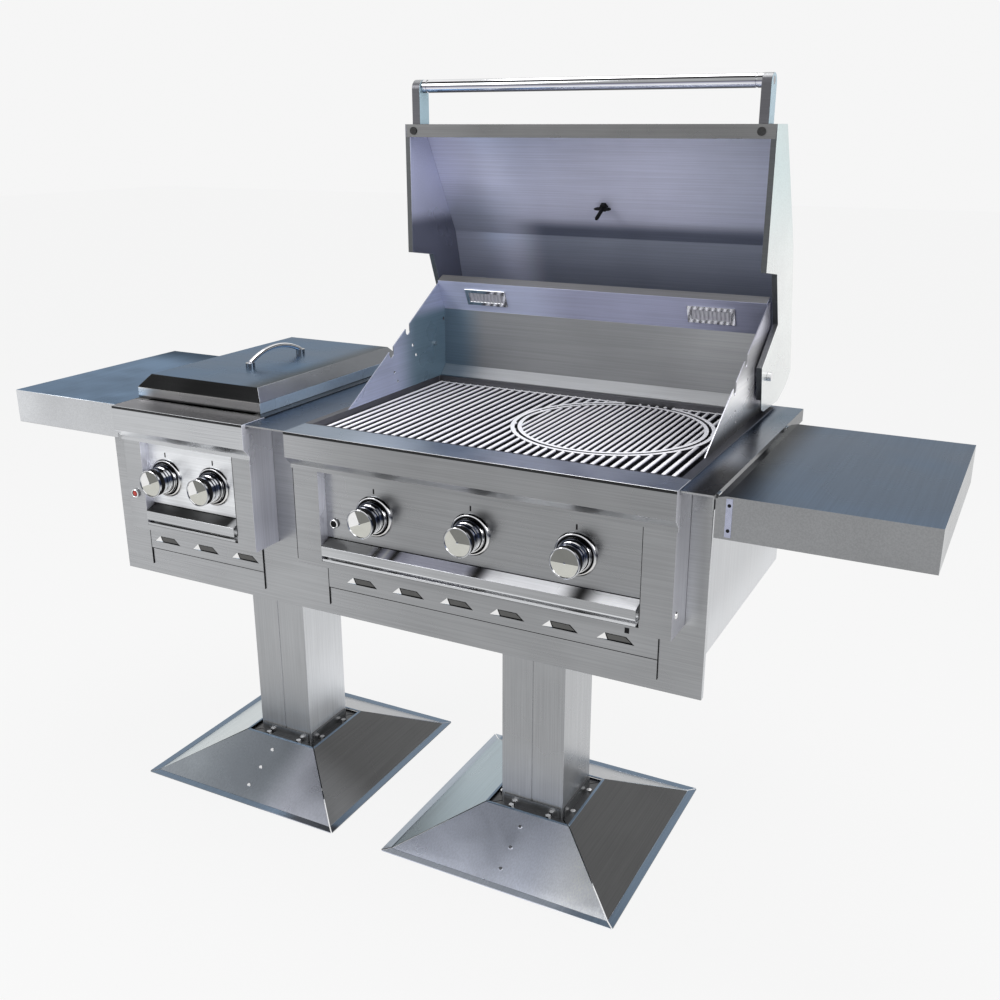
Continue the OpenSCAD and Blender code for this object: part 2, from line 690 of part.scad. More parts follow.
// Small holes of a side panel: distance from the hinge, height above the deck and diameter
panel_holes = [[41, 128, 8], [-92, 90, 7], [-79, 67, 7], [-167, 45, 6], [-156, 24, 6]];
module firebox_side_panel(x) {
    notch_r = 8;
    difference() {
        along_x(x, x + sheet) polygon([panel_slope[0], panel_slope[1],
            [rear_y, deck_h + 214], [rear_y, top_z]]);
        for (k = [0.43, 0.61]) {
            p = mid(panel_slope[0], panel_slope[1], k);
            rod_x(x - cut, x + sheet + cut, p[0] + 4, p[1] - 8, 2 * notch_r);
            box([x - cut, p[0] + 4 - notch_r, p[1] - 8], [x + sheet + cut, p[0] + 4 + notch_r, p[1] + 20]);
        }
        for (h = panel_holes) rod_x(x - cut, x + sheet + cut, pivot_y + h[0], deck_h + h[1], h[2]);
        rod_x(x - cut, x + sheet + cut, pivot_y, pivot_z, pin_d);
    }
}
module firebox_left_panel() color(steel) place() firebox_side_panel(side_panel_x0);
module firebox_right_panel() color(steel) place() firebox_side_panel(side_panel_x1 - sheet);

module rear_wall() color(steel) place()
    along_x(side_panel_x0 + sheet, side_panel_x1 - sheet)
        polygon(bent([[rear_foot_y, top_z], [rear_foot_y, top_z + 2], [rear_y - sheet, rear_foot_z],
            [rear_y - sheet, bar_foot_z]], -sheet));

bar_line = [[rear_y, bar_foot_z - 16], [rear_y, bar_foot_z], [rear_y - bar_lean, bar_foot_z + bar_rise],
    [rear_y - bar_lean + 22, bar_foot_z + bar_rise + 10]];
bar_angle = atan2(bar_rise, -bar_lean);
// Places children at a lamp's centre; local +Z is the bar's front normal, local +Y runs up the slope
module at_lamp(s) {
    p = mid(bar_line[1], bar_line[2], 0.5);
    translate([grill_c + s * lamp_offset, p[0], p[1]]) rotate([bar_angle, 0, 0]) children();
}
module light_bar() color(steel) place() difference() {
    along_x(side_panel_x0 + sheet, side_panel_x1 - sheet) polygon(bent(bar_line, -sheet));
    for (s = [-1, 1]) at_lamp(s) translate([-lamp_w / 2, -lamp_h / 2, -5]) cube([lamp_w, lamp_h, 10]);
}
module lamp_lenses() color([0.9, 0.9, 0.85]) place() {
    for (s = [-1, 1]) at_lamp(s) {
        translate([-lamp_w / 2 + touch, -lamp_h / 2 + touch, -6])
            cube([lamp_w - 2 * touch, lamp_h - 2 * touch, 7]);
    }
}

// A cooking bar split where the round insert sits
module cooking_bar(x) {
    r = insert_r + insert_gap + ring_w / 2;
    dx = abs(x - insert_x);
    if (dx < r) {
        h = sqrt(r * r - dx * dx);
        if (insert_y - h > grate_y0 + ring_w) rod_y(x, grate_y0, insert_y - h, grate_z, bar_d);
        if (insert_y + h < grate_y1 - ring_w) rod_y(x, insert_y + h, grate_y1, grate_z, bar_d);
    } else rod_y(x, grate_y0, grate_y1, grate_z, bar_d);
}
module round_ring(r) {
    translate([insert_x, insert_y, bar_top - bar_d]) difference() {
        cylinder(r = r + ring_w / 2, h = bar_d, $fn = 96);
        translate([0, 0, -cut]) cylinder(r = r - ring_w / 2, h = bar_d + 2 * cut, $fn = 96);
    }
}
module cooking_grates() color(bright) place() {
    for (i = [0:bar_count - 1]) cooking_bar(bar_x0 + i * bar_pitch);
    for (y = [grate_y0, grate_y1 - ring_w])
        box([bar_x0 - bar_d / 2, y, bar_top - bar_d], [bar_x1 + bar_d / 2, y + ring_w, bar_top - 1]);
    round_ring(insert_r + insert_gap + ring_w);
    for (a = [45:90:315]) translate([insert_x, insert_y, 0]) rotate([0, 0, a])
        box([insert_r - 6, -6, bar_top - bar_d - 3],
            [insert_r + insert_gap + ring_w + 2, 6, bar_top - bar_d - slack]);
    for (a = [45:90:315]) translate([insert_x, insert_y, 0]) rotate([0, 0, a])
        box([insert_r + insert_gap + ring_w - 2, -6, bar_top - bar_d - 3],
            [insert_r + insert_gap + ring_w + 2, 6, bar_top - bar_d + 1]);
}
module round_grate() color(bright) place() {
    r = insert_r - ring_w / 2;
    n = (insert_bars - 1) / 2;
    for (i = [-n:n]) {
        h = sqrt(r * r - pow(i * insert_pitch, 2));
        rod_y(insert_x + i * insert_pitch, insert_y - h, insert_y + h, grate_z, bar_d - 1);
    }
    round_ring(insert_r - ring_w / 2);
}

module flame_tamers() color(steel) place() {
    for (x = grill_knobs)
        translate([x, 0, 0]) along_y(firebox_y0 + sheet, firebox_y1 - sheet)
            polygon(bent([[-tamer_w / 2, knob_z + tamer_low], [0, knob_z + tamer_high],
                [tamer_w / 2, knob_z + tamer_low]], 1.5));
}
module burners() color(steel) place() {
    for (x = grill_knobs) difference() {
        rod_y(x, valve_y + 22, firebox_y1 - sheet, knob_z, burner_d);
        rod_y(x, valve_y + 20, firebox_y1 - 20, knob_z, burner_d - 3);
        for (y = [140:60:500]) rod_x(x - burner_d, x + burner_d, y, knob_z + 4, 3);
    }
}

module gas_manifold() color(brass) place() {
    difference() {
        union() {
            rod_x(feed_x, grill_knobs[2] + 30, manifold_y, manifold_z, manifold_d);
            for (z = [manifold_z, feed_z]) translate([feed_x, manifold_y, z]) sphere(d = manifold_d);
            translate([feed_x, manifold_y, feed_z]) cylinder(d = manifold_d, h = manifold_z - feed_z);
            rod_y(feed_x, manifold_y, feed_y, feed_z, manifold_d);
            translate([feed_x, feed_y, feed_z]) sphere(d = manifold_d);
            translate([feed_x, feed_y, wall_z0 - 30]) cylinder(d = manifold_d, h = feed_z - wall_z0 + 30);
            translate([feed_x, feed_y, wall_z0 - 30]) cylinder(d = 28, h = 26);
            rod_x(side_feed_x, feed_x, feed_y, feed_z, manifold_d);
            translate([side_feed_x, feed_y, feed_z]) sphere(d = manifold_d);
            rod_y(side_feed_x, manifold_y, feed_y, feed_z, manifold_d);
            translate([side_feed_x, manifold_y, feed_z]) sphere(d = manifold_d);
            translate([side_feed_x, manifold_y, feed_z])
                cylinder(d = manifold_d, h = side_manifold_z - feed_z);
            translate([side_feed_x, manifold_y, side_manifold_z]) sphere(d = manifold_d);
            rod_x(side_knobs[0] - 30, side_feed_x, manifold_y, side_manifold_z, manifold_d);
        }
        translate([feed_x, feed_y, wall_z0 - 30 - cut]) cylinder(d = 21, h = 20 + cut);
    }
}
side_manifold_z = manifold_z - knob_z + side_knob_z;
module gas_valve(x, z) {
    box([x - valve_w / 2, valve_y, z - knob_z + manifold_z + manifold_d / 2],
        [x + valve_w / 2, valve_y + 22, z + 16]);
    rod_y(x, stem_front, valve_y + cut, z, stem_d);
}
module gas_valves() color(brass) place() {
    for (x = grill_knobs) gas_valve(x, knob_z);
    for (x = side_knobs) gas_valve(x, side_knob_z);
}

module bezel(x, z) {
    difference() {
        union() {
            rod_y(x, control_y - bezel_step, control_y, z, bezel_d);
            rod_y(x, bezel_y, control_y - bezel_step, z, bezel_d - 12);
        }
        rod_y(x, bezel_y - cut, control_y + cut, z, stem_d + 4);
    }
}
module knob_bezels() color(bright) place() {
    for (x = grill_knobs) bezel(x, knob_z);
    for (x = side_knobs) bezel(x, side_knob_z);
}
module knob(x, z) {
    nose = 1.5;
    difference() {
        union() {
            rod_y(x, knob_front + nose, knob_back, z, knob_d);
            translate([x, knob_front + nose, z]) rotate([90, 0, 0])
                cylinder(d1 = knob_d, d2 = knob_d - 4, h = nose);
        }
        rod_y(x, stem_front - 1, knob_back + cut, z, stem_d + 2 * fit_gap);
    }
}
module grill_knob_left() color(bright) place() knob(grill_knobs[0], knob_z);
module grill_knob_middle() color(bright) place() knob(grill_knobs[1], knob_z);
module grill_knob_right() color(bright) place() knob(grill_knobs[2], knob_z);
module side_knob_left() color(bright) place() knob(side_knobs[0], side_knob_z);
module side_knob_right() color(bright) place() knob(side_knobs[1], side_knob_z);

// A push button: a cap in front of its panel and a plunger through it
module push_button(x, y, z) {
    rod_y(x, y - button_travel - 3, y - button_travel - slack, z, button_d + 6);
    rod_y(x, y - button_travel - 2, y + 3, z, button_d);
}
module grill_igniter() color(dark) place() push_button(grill_button_x, control_y, grill_button_z);
module side_igniter() color([0.75, 0.1, 0.08]) place()
    push_button(side_button_x, post_face, side_button_z);

// Puts a closed hood, drawn as [y, z] from its hinge, in its open rest position
module hood_place() {
    place() translate([0, pivot_y, pivot_z]) rotate([-hood_open, 0, 0]) children();
}
gauge_at = mid(hood_shell[1], hood_shell[2], gauge_t);
gauge_tilt = atan2(hood_shell[2][1] - hood_shell[1][1], hood_shell[2][0] - hood_shell[1][0]);
gauge_x = grill_c - 4;
module at_gauge() {
    translate([gauge_x, gauge_at[0], gauge_at[1]]) rotate([gauge_tilt, 0, 0]) children();
}
module hood_skin() color(steel) hood_place() {
    difference() {
        union() {
            along_x(hood_x0 + sheet, hood_x1 - sheet)
                polygon(bent(hood_shell, -sheet));
            box([hood_x0 + sheet, -hood_reach + sheet - touch, hood_bottom],
                [hood_x1 - sheet, -hood_reach + lip_w, hood_bottom + sheet]);
        }
        at_gauge() translate([0, 0, -10]) cylinder(d = gauge_hole_d, h = 20);
        for (x = bumper_xs) translate([x, -hood_reach + lip_w / 2, hood_bottom - cut])
            cylinder(d = 6.2, h = 2 * sheet);
    }
}
bumper_xs = [hood_x0 + 20, hood_x1 - 28];
module hood_side(x, inward) {
    difference() {
        union() {
            along_x(x, x + sheet) polygon(concat([for (p = hood_shell) p],
                [for (i = [len(hood_edge) - 1:-1:1]) hood_edge[i]]));
            intersection() {
                along_x(inward > 0 ? x + touch : x - hood_flange,
                    inward > 0 ? x + sheet + hood_flange : x + sheet - touch)
                    polygon(bent(hood_edge, sheet));
                box([x - 50, -hood_reach + lip_w, -200], [x + 50, 40, 200]);
            }
        }
        rod_x(x - cut, x + sheet + cut, 0, 0, pin_d + 2 * fit_gap);
    }
}
module hood_left_side() color(steel) hood_place() hood_side(hood_x0, 1);
module hood_right_side() color(steel) hood_place() hood_side(hood_x1 - sheet, -1);

handle_z = hood_bottom + handle_y;
handle_c = -hood_reach - handle_reach + handle_d / 2 + 0.5;
spigot_d = 14;
module handle_brackets() color(steel) hood_place() {
    for (x = [hood_x0 + bracket_in, hood_x1 - bracket_in - bracket_w]) difference() {
        union() {
            box([x, -hood_reach - handle_reach + bracket_d / 2, handle_z - bracket_d / 2],
                [x + bracket_w, -hood_reach, handle_z + bracket_d / 2]);
            rod_x(x, x + bracket_w, -hood_reach - handle_reach + bracket_d / 2, handle_z, bracket_d);
        }
        rod_x(x - cut, x + bracket_w + cut, handle_c, handle_z, spigot_d);
    }
}
module hood_handle() color(bright) hood_place() {
    rod_x(hood_x0 + bracket_in + bracket_w, hood_x1 - bracket_in - bracket_w, handle_c, handle_z,
        handle_d);
    rod_x(hood_x0 + bracket_in, hood_x1 - bracket_in, handle_c, handle_z, spigot_d);
}
module hood_bumpers() color(dark) hood_place() {
    for (x = bumper_xs) translate([x, -hood_reach + lip_w / 2, hood_bottom - 2.5]) {
        cylinder(d = 15, h = 2.5);
        cylinder(d = 6, h = 8);
    }
}
module thermometer() color(bright) hood_place() at_gauge() {
    cylinder(d = gauge_d, h = 9);
    translate([0, 0, 9 - touch]) difference() {
        cylinder(d = gauge_d, h = 5);
        cylinder(d = gauge_d - 8, h = 6);
    }
    translate([0, 0, -50]) cylinder(d = 8, h = 50 + touch);
    translate([0, 0, -sheet - 9]) cylinder(d = 16, h = 9, $fn = 6);
    translate([-16, -1.5, -sheet - 16]) cube([32, 3, 10]);
}
module hood_hinge_pins() color(bright) place() {
    for (s = [[side_panel_x0, hood_x0, -1], [side_panel_x1, hood_x1, 1]]) {
        lo = min(s[0], s[1]);
        hi = max(s[0], s[1]);
        rod_x(lo - (s[2] < 0 ? 8 : sheet + 4), hi + (s[2] > 0 ? 8 : sheet + 4), pivot_y, pivot_z, pin_d);
        rod_x(s[2] < 0 ? hood_x0 + sheet + slack : s[0], s[2] < 0 ? s[0] : hood_x1 - sheet - slack,
            pivot_y, pivot_z, 24);
        rod_x(s[2] < 0 ? hood_x0 - 8 : hood_x1 + slack, s[2] < 0 ? hood_x0 - slack : hood_x1 + 8,
            pivot_y, pivot_z, 18);
    }
}

tub_x0 = side_x0 + 28;
tub_x1 = side_x1 - 28;
tub_z0 = deck_h - 70;
burner_c = [side_c, 330];
module side_burner_tub() color(steel) place() difference() {
    tub(tub_x0, tub_x1, firebox_y1, tub_z0, side_x0, side_x1);
    translate([burner_c[0], burner_c[1], tub_z0 - cut]) cylinder(d = 30, h = 2 * sheet + 2 * cut);
}
module side_burner() color(dark) place() {
    translate([burner_c[0], burner_c[1], 0]) {
        translate([0, 0, tub_z0 - 24]) cylinder(d = 29.6, h = 30);
        translate([0, 0, tub_z0 + sheet]) cylinder(d = 60, h = 14);
        translate([0, 0, tub_z0 + sheet + 13.5]) cylinder(d = 110, h = 14);
        translate([0, 0, tub_z0 + sheet + 27]) cylinder(d1 = 96, d2 = 84, h = 8);
    }
}
module pan_support() color(dark) place() {
    for (a = [0:60:300]) translate([burner_c[0], burner_c[1], 0]) rotate([0, 0, a]) {
        box([30, -4, bar_top - 8], [118, 4, bar_top]);
        box([112, -4, tub_z0 + sheet], [120, 4, bar_top]);
    }
    translate([burner_c[0], burner_c[1], tub_z0 + sheet]) difference() {
        cylinder(d = 244, h = 8, $fn = 96);
        translate([0, 0, -cut]) cylinder(d = 226, h = 10, $fn = 96);
    }
}

// A bevelled box: upright skirt, then four sloped sides up to a flat top
function bevel_outline(a, b, z0, z1, z2, inset) =
    [[a, z0], [a, z1], [a + inset, z2], [b - inset, z2], [b, z1], [b, z0]];
module bevel_box(x0, x1, y0, y1, z0, skirt, bevel, inset) {
    z1 = z0 + skirt;
    z2 = z1 + bevel;
    intersection() {
        along_x(x0, x1) polygon(bevel_outline(y0, y1, z0, z1, z2, inset));
        along_y(y0, y1) polygon(bevel_outline(x0, x1, z0, z1, z2, inset));
    }
}
module side_lid() color(steel) place() difference() {
    bevel_box(lid_x0, lid_x0 + lid_w, lid_y0, lid_y0 + lid_d, lid_z, lid_skirt, lid_bevel, lid_inset);
    bevel_box(lid_x0 + sheet, lid_x0 + lid_w - sheet, lid_y0 + sheet, lid_y0 + lid_d - sheet,
        lid_z - cut, lid_skirt + cut - sheet / 2, lid_bevel - sheet / 2, lid_inset);
}
module side_lid_handle() color(bright) place() {
    half = lid_handle_span / 2;
    rise = lid_handle_h - 8;
    r = (half * half + rise * rise) / (2 * rise);
    a = asin(half / r);
    translate([lid_x0 + lid_w / 2, lid_y0 + lid_d / 2, lid_z + lid_skirt + lid_bevel]) {
        for (s = [-1, 1]) translate([0, s * half, 0]) cylinder(d = 20, h = 9);
        translate([0, 0, 8 + rise - r]) rotate([90, 0, 90]) rotate([0, 0, 90 - a])
            rotate_extrude(angle = 2 * a, $fn = 96) translate([r, 0]) circle(d = lid_rod_d, $fn = 32);
    }
}

left_post();
right_post();
base_plates();
left_base_skirts();
right_base_skirts();
post_foot_brackets();
foot_bolts();
skirt_screws();
post_caps();
cabinet_floor();
front_panel();
left_side_wall();
right_side_wall();
back_panel();
deck();
vent_strips();
left_shelf();
right_shelf();
shelf_hinge_brackets();
grill_fascia();
grill_frame();
grill_control_panel();
grill_drip_tray();
firebox();
firebox_left_panel();
firebox_right_panel();
rear_wall();
light_bar();
lamp_lenses();
cooking_grates();
round_grate();
flame_tamers();
burners();
gas_manifold();
gas_valves();
knob_bezels();
grill_knob_left();
grill_knob_middle();
grill_knob_right();
grill_igniter();
hood_skin();
hood_left_side();
hood_right_side();
hood_handle();
handle_brackets();
hood_bumpers();
thermometer();
hood_hinge_pins();
side_fascia();
side_frame();
side_control_panel();
side_drip_tray();
side_burner_tub();
side_burner();
pan_support();
side_knob_left();
side_knob_right();
side_igniter();
side_lid();
side_lid_handle();
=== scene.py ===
# %% [markdown]
# # A stainless gas grill station on two pedestals
# The real thing is folded from stainless sheet: a wide cabinet carries a three-burner grill head and a
# small side burner head, a shelf hangs off each end, and two square posts with pyramid skirts stand on the
# paving. The imported model already has every dimension and joint. This lesson gives each sheet its softened
# edge, its brushed finish and its painted reflection and shade, and models the small turned and pressed
# pieces that the plain solids only hint at.

# %% Load the imported model
import json
import math

import bmesh
import bpy
from mathutils import Matrix, Vector


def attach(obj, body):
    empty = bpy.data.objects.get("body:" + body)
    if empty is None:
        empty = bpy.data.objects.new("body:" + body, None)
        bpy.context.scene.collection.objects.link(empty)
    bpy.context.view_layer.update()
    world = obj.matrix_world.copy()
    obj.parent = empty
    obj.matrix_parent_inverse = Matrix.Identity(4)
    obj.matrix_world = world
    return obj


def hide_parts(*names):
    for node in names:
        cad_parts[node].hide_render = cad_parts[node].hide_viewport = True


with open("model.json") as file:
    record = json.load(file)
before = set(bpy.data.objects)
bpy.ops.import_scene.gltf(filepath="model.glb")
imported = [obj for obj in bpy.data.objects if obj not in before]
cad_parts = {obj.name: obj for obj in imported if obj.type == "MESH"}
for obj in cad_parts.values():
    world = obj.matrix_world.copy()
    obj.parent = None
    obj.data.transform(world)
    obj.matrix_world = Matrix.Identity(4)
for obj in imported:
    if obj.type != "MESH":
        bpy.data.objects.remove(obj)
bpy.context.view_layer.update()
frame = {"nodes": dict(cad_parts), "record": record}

nodes = frame["nodes"]
scene = bpy.context.scene
body_of = {n: body for body, names in frame["record"]["behaviour"]["bodies"].items() for n in names}
print("CAD nodes:", len(nodes), "bodies:", len(set(body_of.values())))

# %% [markdown]
# ## The camera
# The photograph was taken from the front right, a little above the deck. The camera below repeats that
# view. It could be placed by eye, but a fit of about a hundred measured edges gave these numbers: no shift
# and no roll.

# %% The camera
camera = bpy.data.objects.new("camera", bpy.data.cameras.new("camera"))
scene.collection.objects.link(camera)
camera.data.sensor_width = 36
camera.data.lens = 39.18
camera.data.clip_end = 60
camera.location = (1.0357, -1.9031, 1.4415)
camera.rotation_euler = (math.radians(71.06), 0, math.radians(27.29))
scene.camera = camera
print("camera at", tuple(round(v, 3) for v in camera.location))

# %% [markdown]
# ## Helpers for shader nodes
# Every finish here is procedural. A small helper adds a node, fills its sockets with numbers or links, and
# returns it, so that a finish reads as a short list of steps. Object coordinates keep a pattern fixed to
# its piece.

# %% A node in one line
def add(tree, kind, values=None, **settings):
    node = tree.nodes.new("ShaderNode" + kind)
    for key, value in settings.items():
        setattr(node, key, value)
    for key, value in (values or {}).items():
        if isinstance(value, bpy.types.NodeSocket):
            tree.links.new(value, node.inputs[key])
        elif node.inputs[key].type == "RGBA" and len(value) == 3:
            node.inputs[key].default_value = (*value, 1)
        else:
            node.inputs[key].default_value = value
    return node


# %% A finish to start from
def start(name, metallic, roughness, **constants):
    made = bpy.data.materials.new(name)
    made.use_nodes = True
    shader = made.node_tree.nodes["Principled BSDF"]
    shader.inputs["Metallic"].default_value = metallic
    shader.inputs["Roughness"].default_value = roughness
    for key, value in constants.items():
        shader.inputs[key.replace("_", " ")].default_value = value
    return made, made.node_tree, shader


def between(tree, value, low, high, to_low=0.0, to_high=1.0):
    values = {"Value": value, "From Min": low, "From Max": high, "To Min": to_low, "To Max": to_high}
    return add(tree, "MapRange", values, interpolation_type="SMOOTHSTEP").outputs["Result"]


def mixed(tree, share, a, b, how="MIX"):
    return add(tree, "Mix", {0: share, 6: a, 7: b}, data_type="RGBA", blend_type=how).outputs[2]


def times(tree, a, b):
    return add(tree, "Math", {0: a, 1: b}, operation="MULTIPLY").outputs[0]


def dappled(tree, colour, noise, low, high, dark, pale=1.0):
    level = between(tree, noise.outputs["Fac"], low, high, dark, pale)
    return mixed(tree, 1.0, colour, level, "MULTIPLY")


print("materials before the first finish:", len(bpy.data.materials))

# %% [markdown]
# ## Brushed stainless sheet and its painted light
# Brushed sheet is metal with fine parallel scratches, faint smears and hardly any colour of its own, so its
# tone is the tone of what it faces: tops go blue-grey, fronts stay mid grey, end faces turn pale. A
# mirror-like metal would leave that to the lamps alone. Here those tones are painted into the colour as
# painted reflection and shade: the tone follows the face's own direction, read from the object-space normal,
# which keeps each sheet's tone when the piece swings. It can fade along an axis, as painted light and shade,
# and a spot is a painted reflection, the soft image of a knob or a wall. Each fade or spot may be kept to
# the faces that look one way, and a fade may be kept to a stretch of a second axis.

# %% Brushed steel with painted reflection and shade
FACES = {"Y+": ("Y", 1), "X+": ("X", 1), "X-": ("X", -1), "Z-": ("Z", -1), "Z+": ("Z", 1), "Y-": ("Y", -1)}
GRAINS = {"X": (3, 260, 260), "Y": (260, 3, 260), "Z": (260, 260, 3)}
SCRATCH_DEPTH = 0.0004


def steel(name, front, top=(0.19, 0.25, 0.32), right=None, left=None, back=None, under=None, rough=0.30,
          fade=(), spots=(), grain="X", metal=1.0, turn=(0.45, 0.8), flat=None, edge=1.0):
    # A fade is painted light and shade: (face, axis, from, to, tone, amount), then the stretches of other
    # axes that it keeps to.
    # A spot is a painted reflection: (face, axis, middle, half width, tone, amount). Lengths are metres in
    # the piece's own axes.
    made, tree, shader = start(name, metal, rough, Specular_Tint=(edge, edge, edge, 1))
    # An underside without a tone of its own is painted at half the front's tone: painted shade.
    under = under or tuple(0.5 * v for v in front)
    place = add(tree, "TexCoord")
    spot = add(tree, "SeparateXYZ", {"Vector": place.outputs["Object"]})
    face = add(tree, "SeparateXYZ", {"Vector": place.outputs["Normal"]})
    shares = {}
    for key, (axis, sign) in FACES.items():
        low, high = flat if key == "Z+" and flat else turn
        shares[key] = between(tree, face.outputs[axis], low * sign, high * sign)
    # Each direction's tone, mixed in by the face's normal, is painted reflection and shade.
    colour = front
    for key, tone in (("Y+", back or front), ("X+", right or front), ("X-", left or front), ("Z-", under),
                      ("Z+", top)):
        colour = mixed(tree, shares[key], colour, tone)
    for facing, axis, low, high, tone, amount, *also in fade:
        share = between(tree, spot.outputs[axis], low, high, 0.0, amount)
        for second in also:
            share = times(tree, share, between(tree, spot.outputs[second[0]], *second[1:]))
        colour = mixed(tree, times(tree, share, shares[facing]) if facing else share, colour, tone)
    for facing, axis, middle, half, tone, amount in spots:
        away = add(tree, "Math", {0: spot.outputs[axis], 1: middle}, operation="SUBTRACT")
        away = add(tree, "Math", {0: away.outputs[0]}, operation="ABSOLUTE")
        share = between(tree, away.outputs[0], half, 0.0, 0.0, amount)
        colour = mixed(tree, times(tree, share, shares[facing]) if facing else share, colour, tone)
    lines = add(tree, "Mapping", {"Vector": place.outputs["Object"], "Scale": GRAINS[grain]})
    scratch = add(tree, "TexNoise", {"Vector": lines.outputs["Vector"], "Scale": 1.6, "Detail": 4.0})
    smear = add(tree, "TexNoise", {"Vector": place.outputs["Object"], "Scale": 5.0, "Detail": 3.0})
    colour = dappled(tree, colour, scratch, 0.3, 0.7, 0.92, 1.05)
    colour = dappled(tree, colour, smear, 0.35, 0.65, 0.95, 1.04)
    tree.links.new(colour, shader.inputs["Base Color"])
    tree.links.new(between(tree, smear.outputs["Fac"], 0.3, 0.7, rough - 0.05, rough + 0.07),
                   shader.inputs["Roughness"])
    bump = add(tree, "Bump", {"Height": scratch.outputs["Fac"], "Strength": 0.05, "Distance": SCRATCH_DEPTH})
    tree.links.new(bump.outputs["Normal"], shader.inputs["Normal"])
    return made


def grey(level, blue=1.05):
    return (level, level * (1 + (blue - 1) * 0.4), level * blue)


print("a sheet's tone is set for", len(FACES), "directions, its grain for", len(GRAINS))

# %% [markdown]
# ### Cabinet and head finishes, with painted light
# The front sheets are painted from pale at the cabinet's left end to mid grey at its right end, as painted
# light from a window on the left, and the heads' ledges take a painted reflection of the sky's blue. A
# gradient image could do that, but a fade in the shader needs no image and keeps its place on the sheet.

# %% Finishes of the cabinet and heads
# Painted light: the fronts grow paler towards the cabinet's left end.
FRONT_PAINTED_LIGHT = [("Y-", "X", 0.1, -0.25, grey(0.395), 1.0), ("Y-", "X", -0.3, -0.66, grey(0.45), 1.0)]
# Painted shade and highlight where the ledge rolls: a dark line along the top of the face, a pale line along
# the ledge's front edge.
ROLL_SHADE_AND_HIGHLIGHT = [("Y-", "Z", 0.9022, 0.9030, grey(0.02), 0.96), ("Z+", "Y", -0.3570, -0.3578, grey(0.8), 0.9)]
# The fascias' tops carry painted reflections that change along the grill fascia, and their undersides a pale
# painted reflection.
fascia_steel = steel("fascia_steel", grey(0.27), top=(0.30, 0.36, 0.45), under=grey(0.75),
                     fade=[("Y-", "X", 0.03, -0.22, grey(0.43), 1.0),
                           ("Z+", "X", -0.02, -0.12, (0.19, 0.25, 0.33), 1.0),
                           ("Z+", "X", 0.12, 0.25, (0.50, 0.53, 0.60), 1.0),
                           ("Z+", "X", 0.4, 0.54, (0.32, 0.36, 0.42), 1.0)] + ROLL_SHADE_AND_HIGHLIGHT)
side_fascia_steel = steel("side_fascia_steel", grey(0.56), top=(0.10, 0.10, 0.115), under=grey(0.85),
                          fade=ROLL_SHADE_AND_HIGHLIGHT)
# Just right of the grill head's end, above its foot, the panel is painted paler: painted light.
panel_steel = steel("panel_steel", grey(0.325), right=grey(0.62),
                    fade=FRONT_PAINTED_LIGHT + [("Y-", "X", 0.517, 0.545, grey(0.60), 1.0, ("Z", 0.63, 0.67)),
                                        ("Y-", "X", 0.545, 0.573, grey(0.325), 1.0)])
# Painted light: the control panel grows paler towards the left and darker underneath, and the side control
# panel is pale all over.
control_steel = steel("control_steel", grey(0.29), under=grey(0.2),
                      fade=[("Y-", "X", 0.05, -0.15, grey(0.41), 1.0)])
side_control_steel = steel("side_control_steel", grey(0.90), metal=0.5)
frame_steel = steel("frame_steel", grey(0.30), right=grey(0.27, 1.15), left=grey(0.12), top=grey(0.3),
                    fade=FRONT_PAINTED_LIGHT)
# The heads' right ends carry a painted reflection of the pale ground, darker towards their foot and on the
# grill head.
head_end_steel = steel("head_end_steel", grey(0.4), right=(0.86, 0.87, 0.97), left=grey(0.6), metal=0.5,
                       grain="Z", fade=[("X+", "Z", 0.8, 0.68, (0.62, 0.63, 0.72), 1.0),
                                        ("X+", "X", 0.3, 0.5, (0.44, 0.445, 0.49), 1.0)])
print("finishes so far:", len(bpy.data.materials))

# %% [markdown]
# ### Deck and shelf finishes, with painted light
# The deck and the shelves look up at the sky, so their tops carry the bluest painted reflection of all. They
# darken with painted shade where a wall, the head or the hood stands beside them. A lit room round the model
# could do that too, but a fade fixed to the sheet is easier to tune.

# %% Finishes of the deck, the shelves and the walls
# Past the grill head's right end the deck's top is painted paler and bluer towards the back, as painted
# reflection, and near black towards the front, as painted shade.
deck_steel = steel("deck_steel", grey(0.36), top=(0.10, 0.145, 0.22), grain="Y", right=grey(0.3),
                   edge=0.75, fade=[("Z+", "X", 0.55, 0.575, (0.32, 0.34, 0.385), 1.0),
                                    ("Z+", "Y", 0.0, 0.2, (0.12, 0.18, 0.25), 1.0, ("X", 0.55, 0.575)),
                                    ("Z+", "Y", -0.12, -0.235, grey(0.012), 0.98, ("X", 0.55, 0.575))])
# Painted light and shade: the left shelf's front grows paler towards its left end, its top darker towards
# the back.
left_shelf_steel = steel("left_shelf_steel", grey(0.60), top=(0.31, 0.43, 0.59), right=grey(0.6),
                         left=grey(0.7), grain="Y", edge=0.3,
                         fade=[("Y-", "X", -0.80, -0.93, grey(0.72), 1.0),
                               ("Z+", "Y", 0.0, 0.12, (0.115, 0.17, 0.24), 1.0)])
# Painted shade: the right shelf's top goes near black towards its inner edge by the deck.
right_shelf_steel = steel("right_shelf_steel", grey(0.275), top=(0.105, 0.15, 0.215), grain="Y", edge=0.7,
                          right=(0.76, 0.77, 0.78),
                          fade=[("Z+", "X", 0.685, 0.622, (0.01, 0.012, 0.015), 0.95)])
# Painted light: the walls' right faces grow paler towards their foot.
wall_steel = steel("wall_steel", grey(0.4), right=grey(0.60), left=grey(0.5), grain="Z",
                   fade=[("X+", "Z", 0.70, 0.60, grey(0.75), 0.8)])
# The handle brackets' dark front and blue right side are painted reflections.
bracket_steel = steel("bracket_steel", (0.09, 0.09, 0.10), top=grey(0.25), right=(0.36, 0.50, 0.58),
                      left=grey(0.3), metal=0.5)
print("finishes so far:", len(bpy.data.materials))
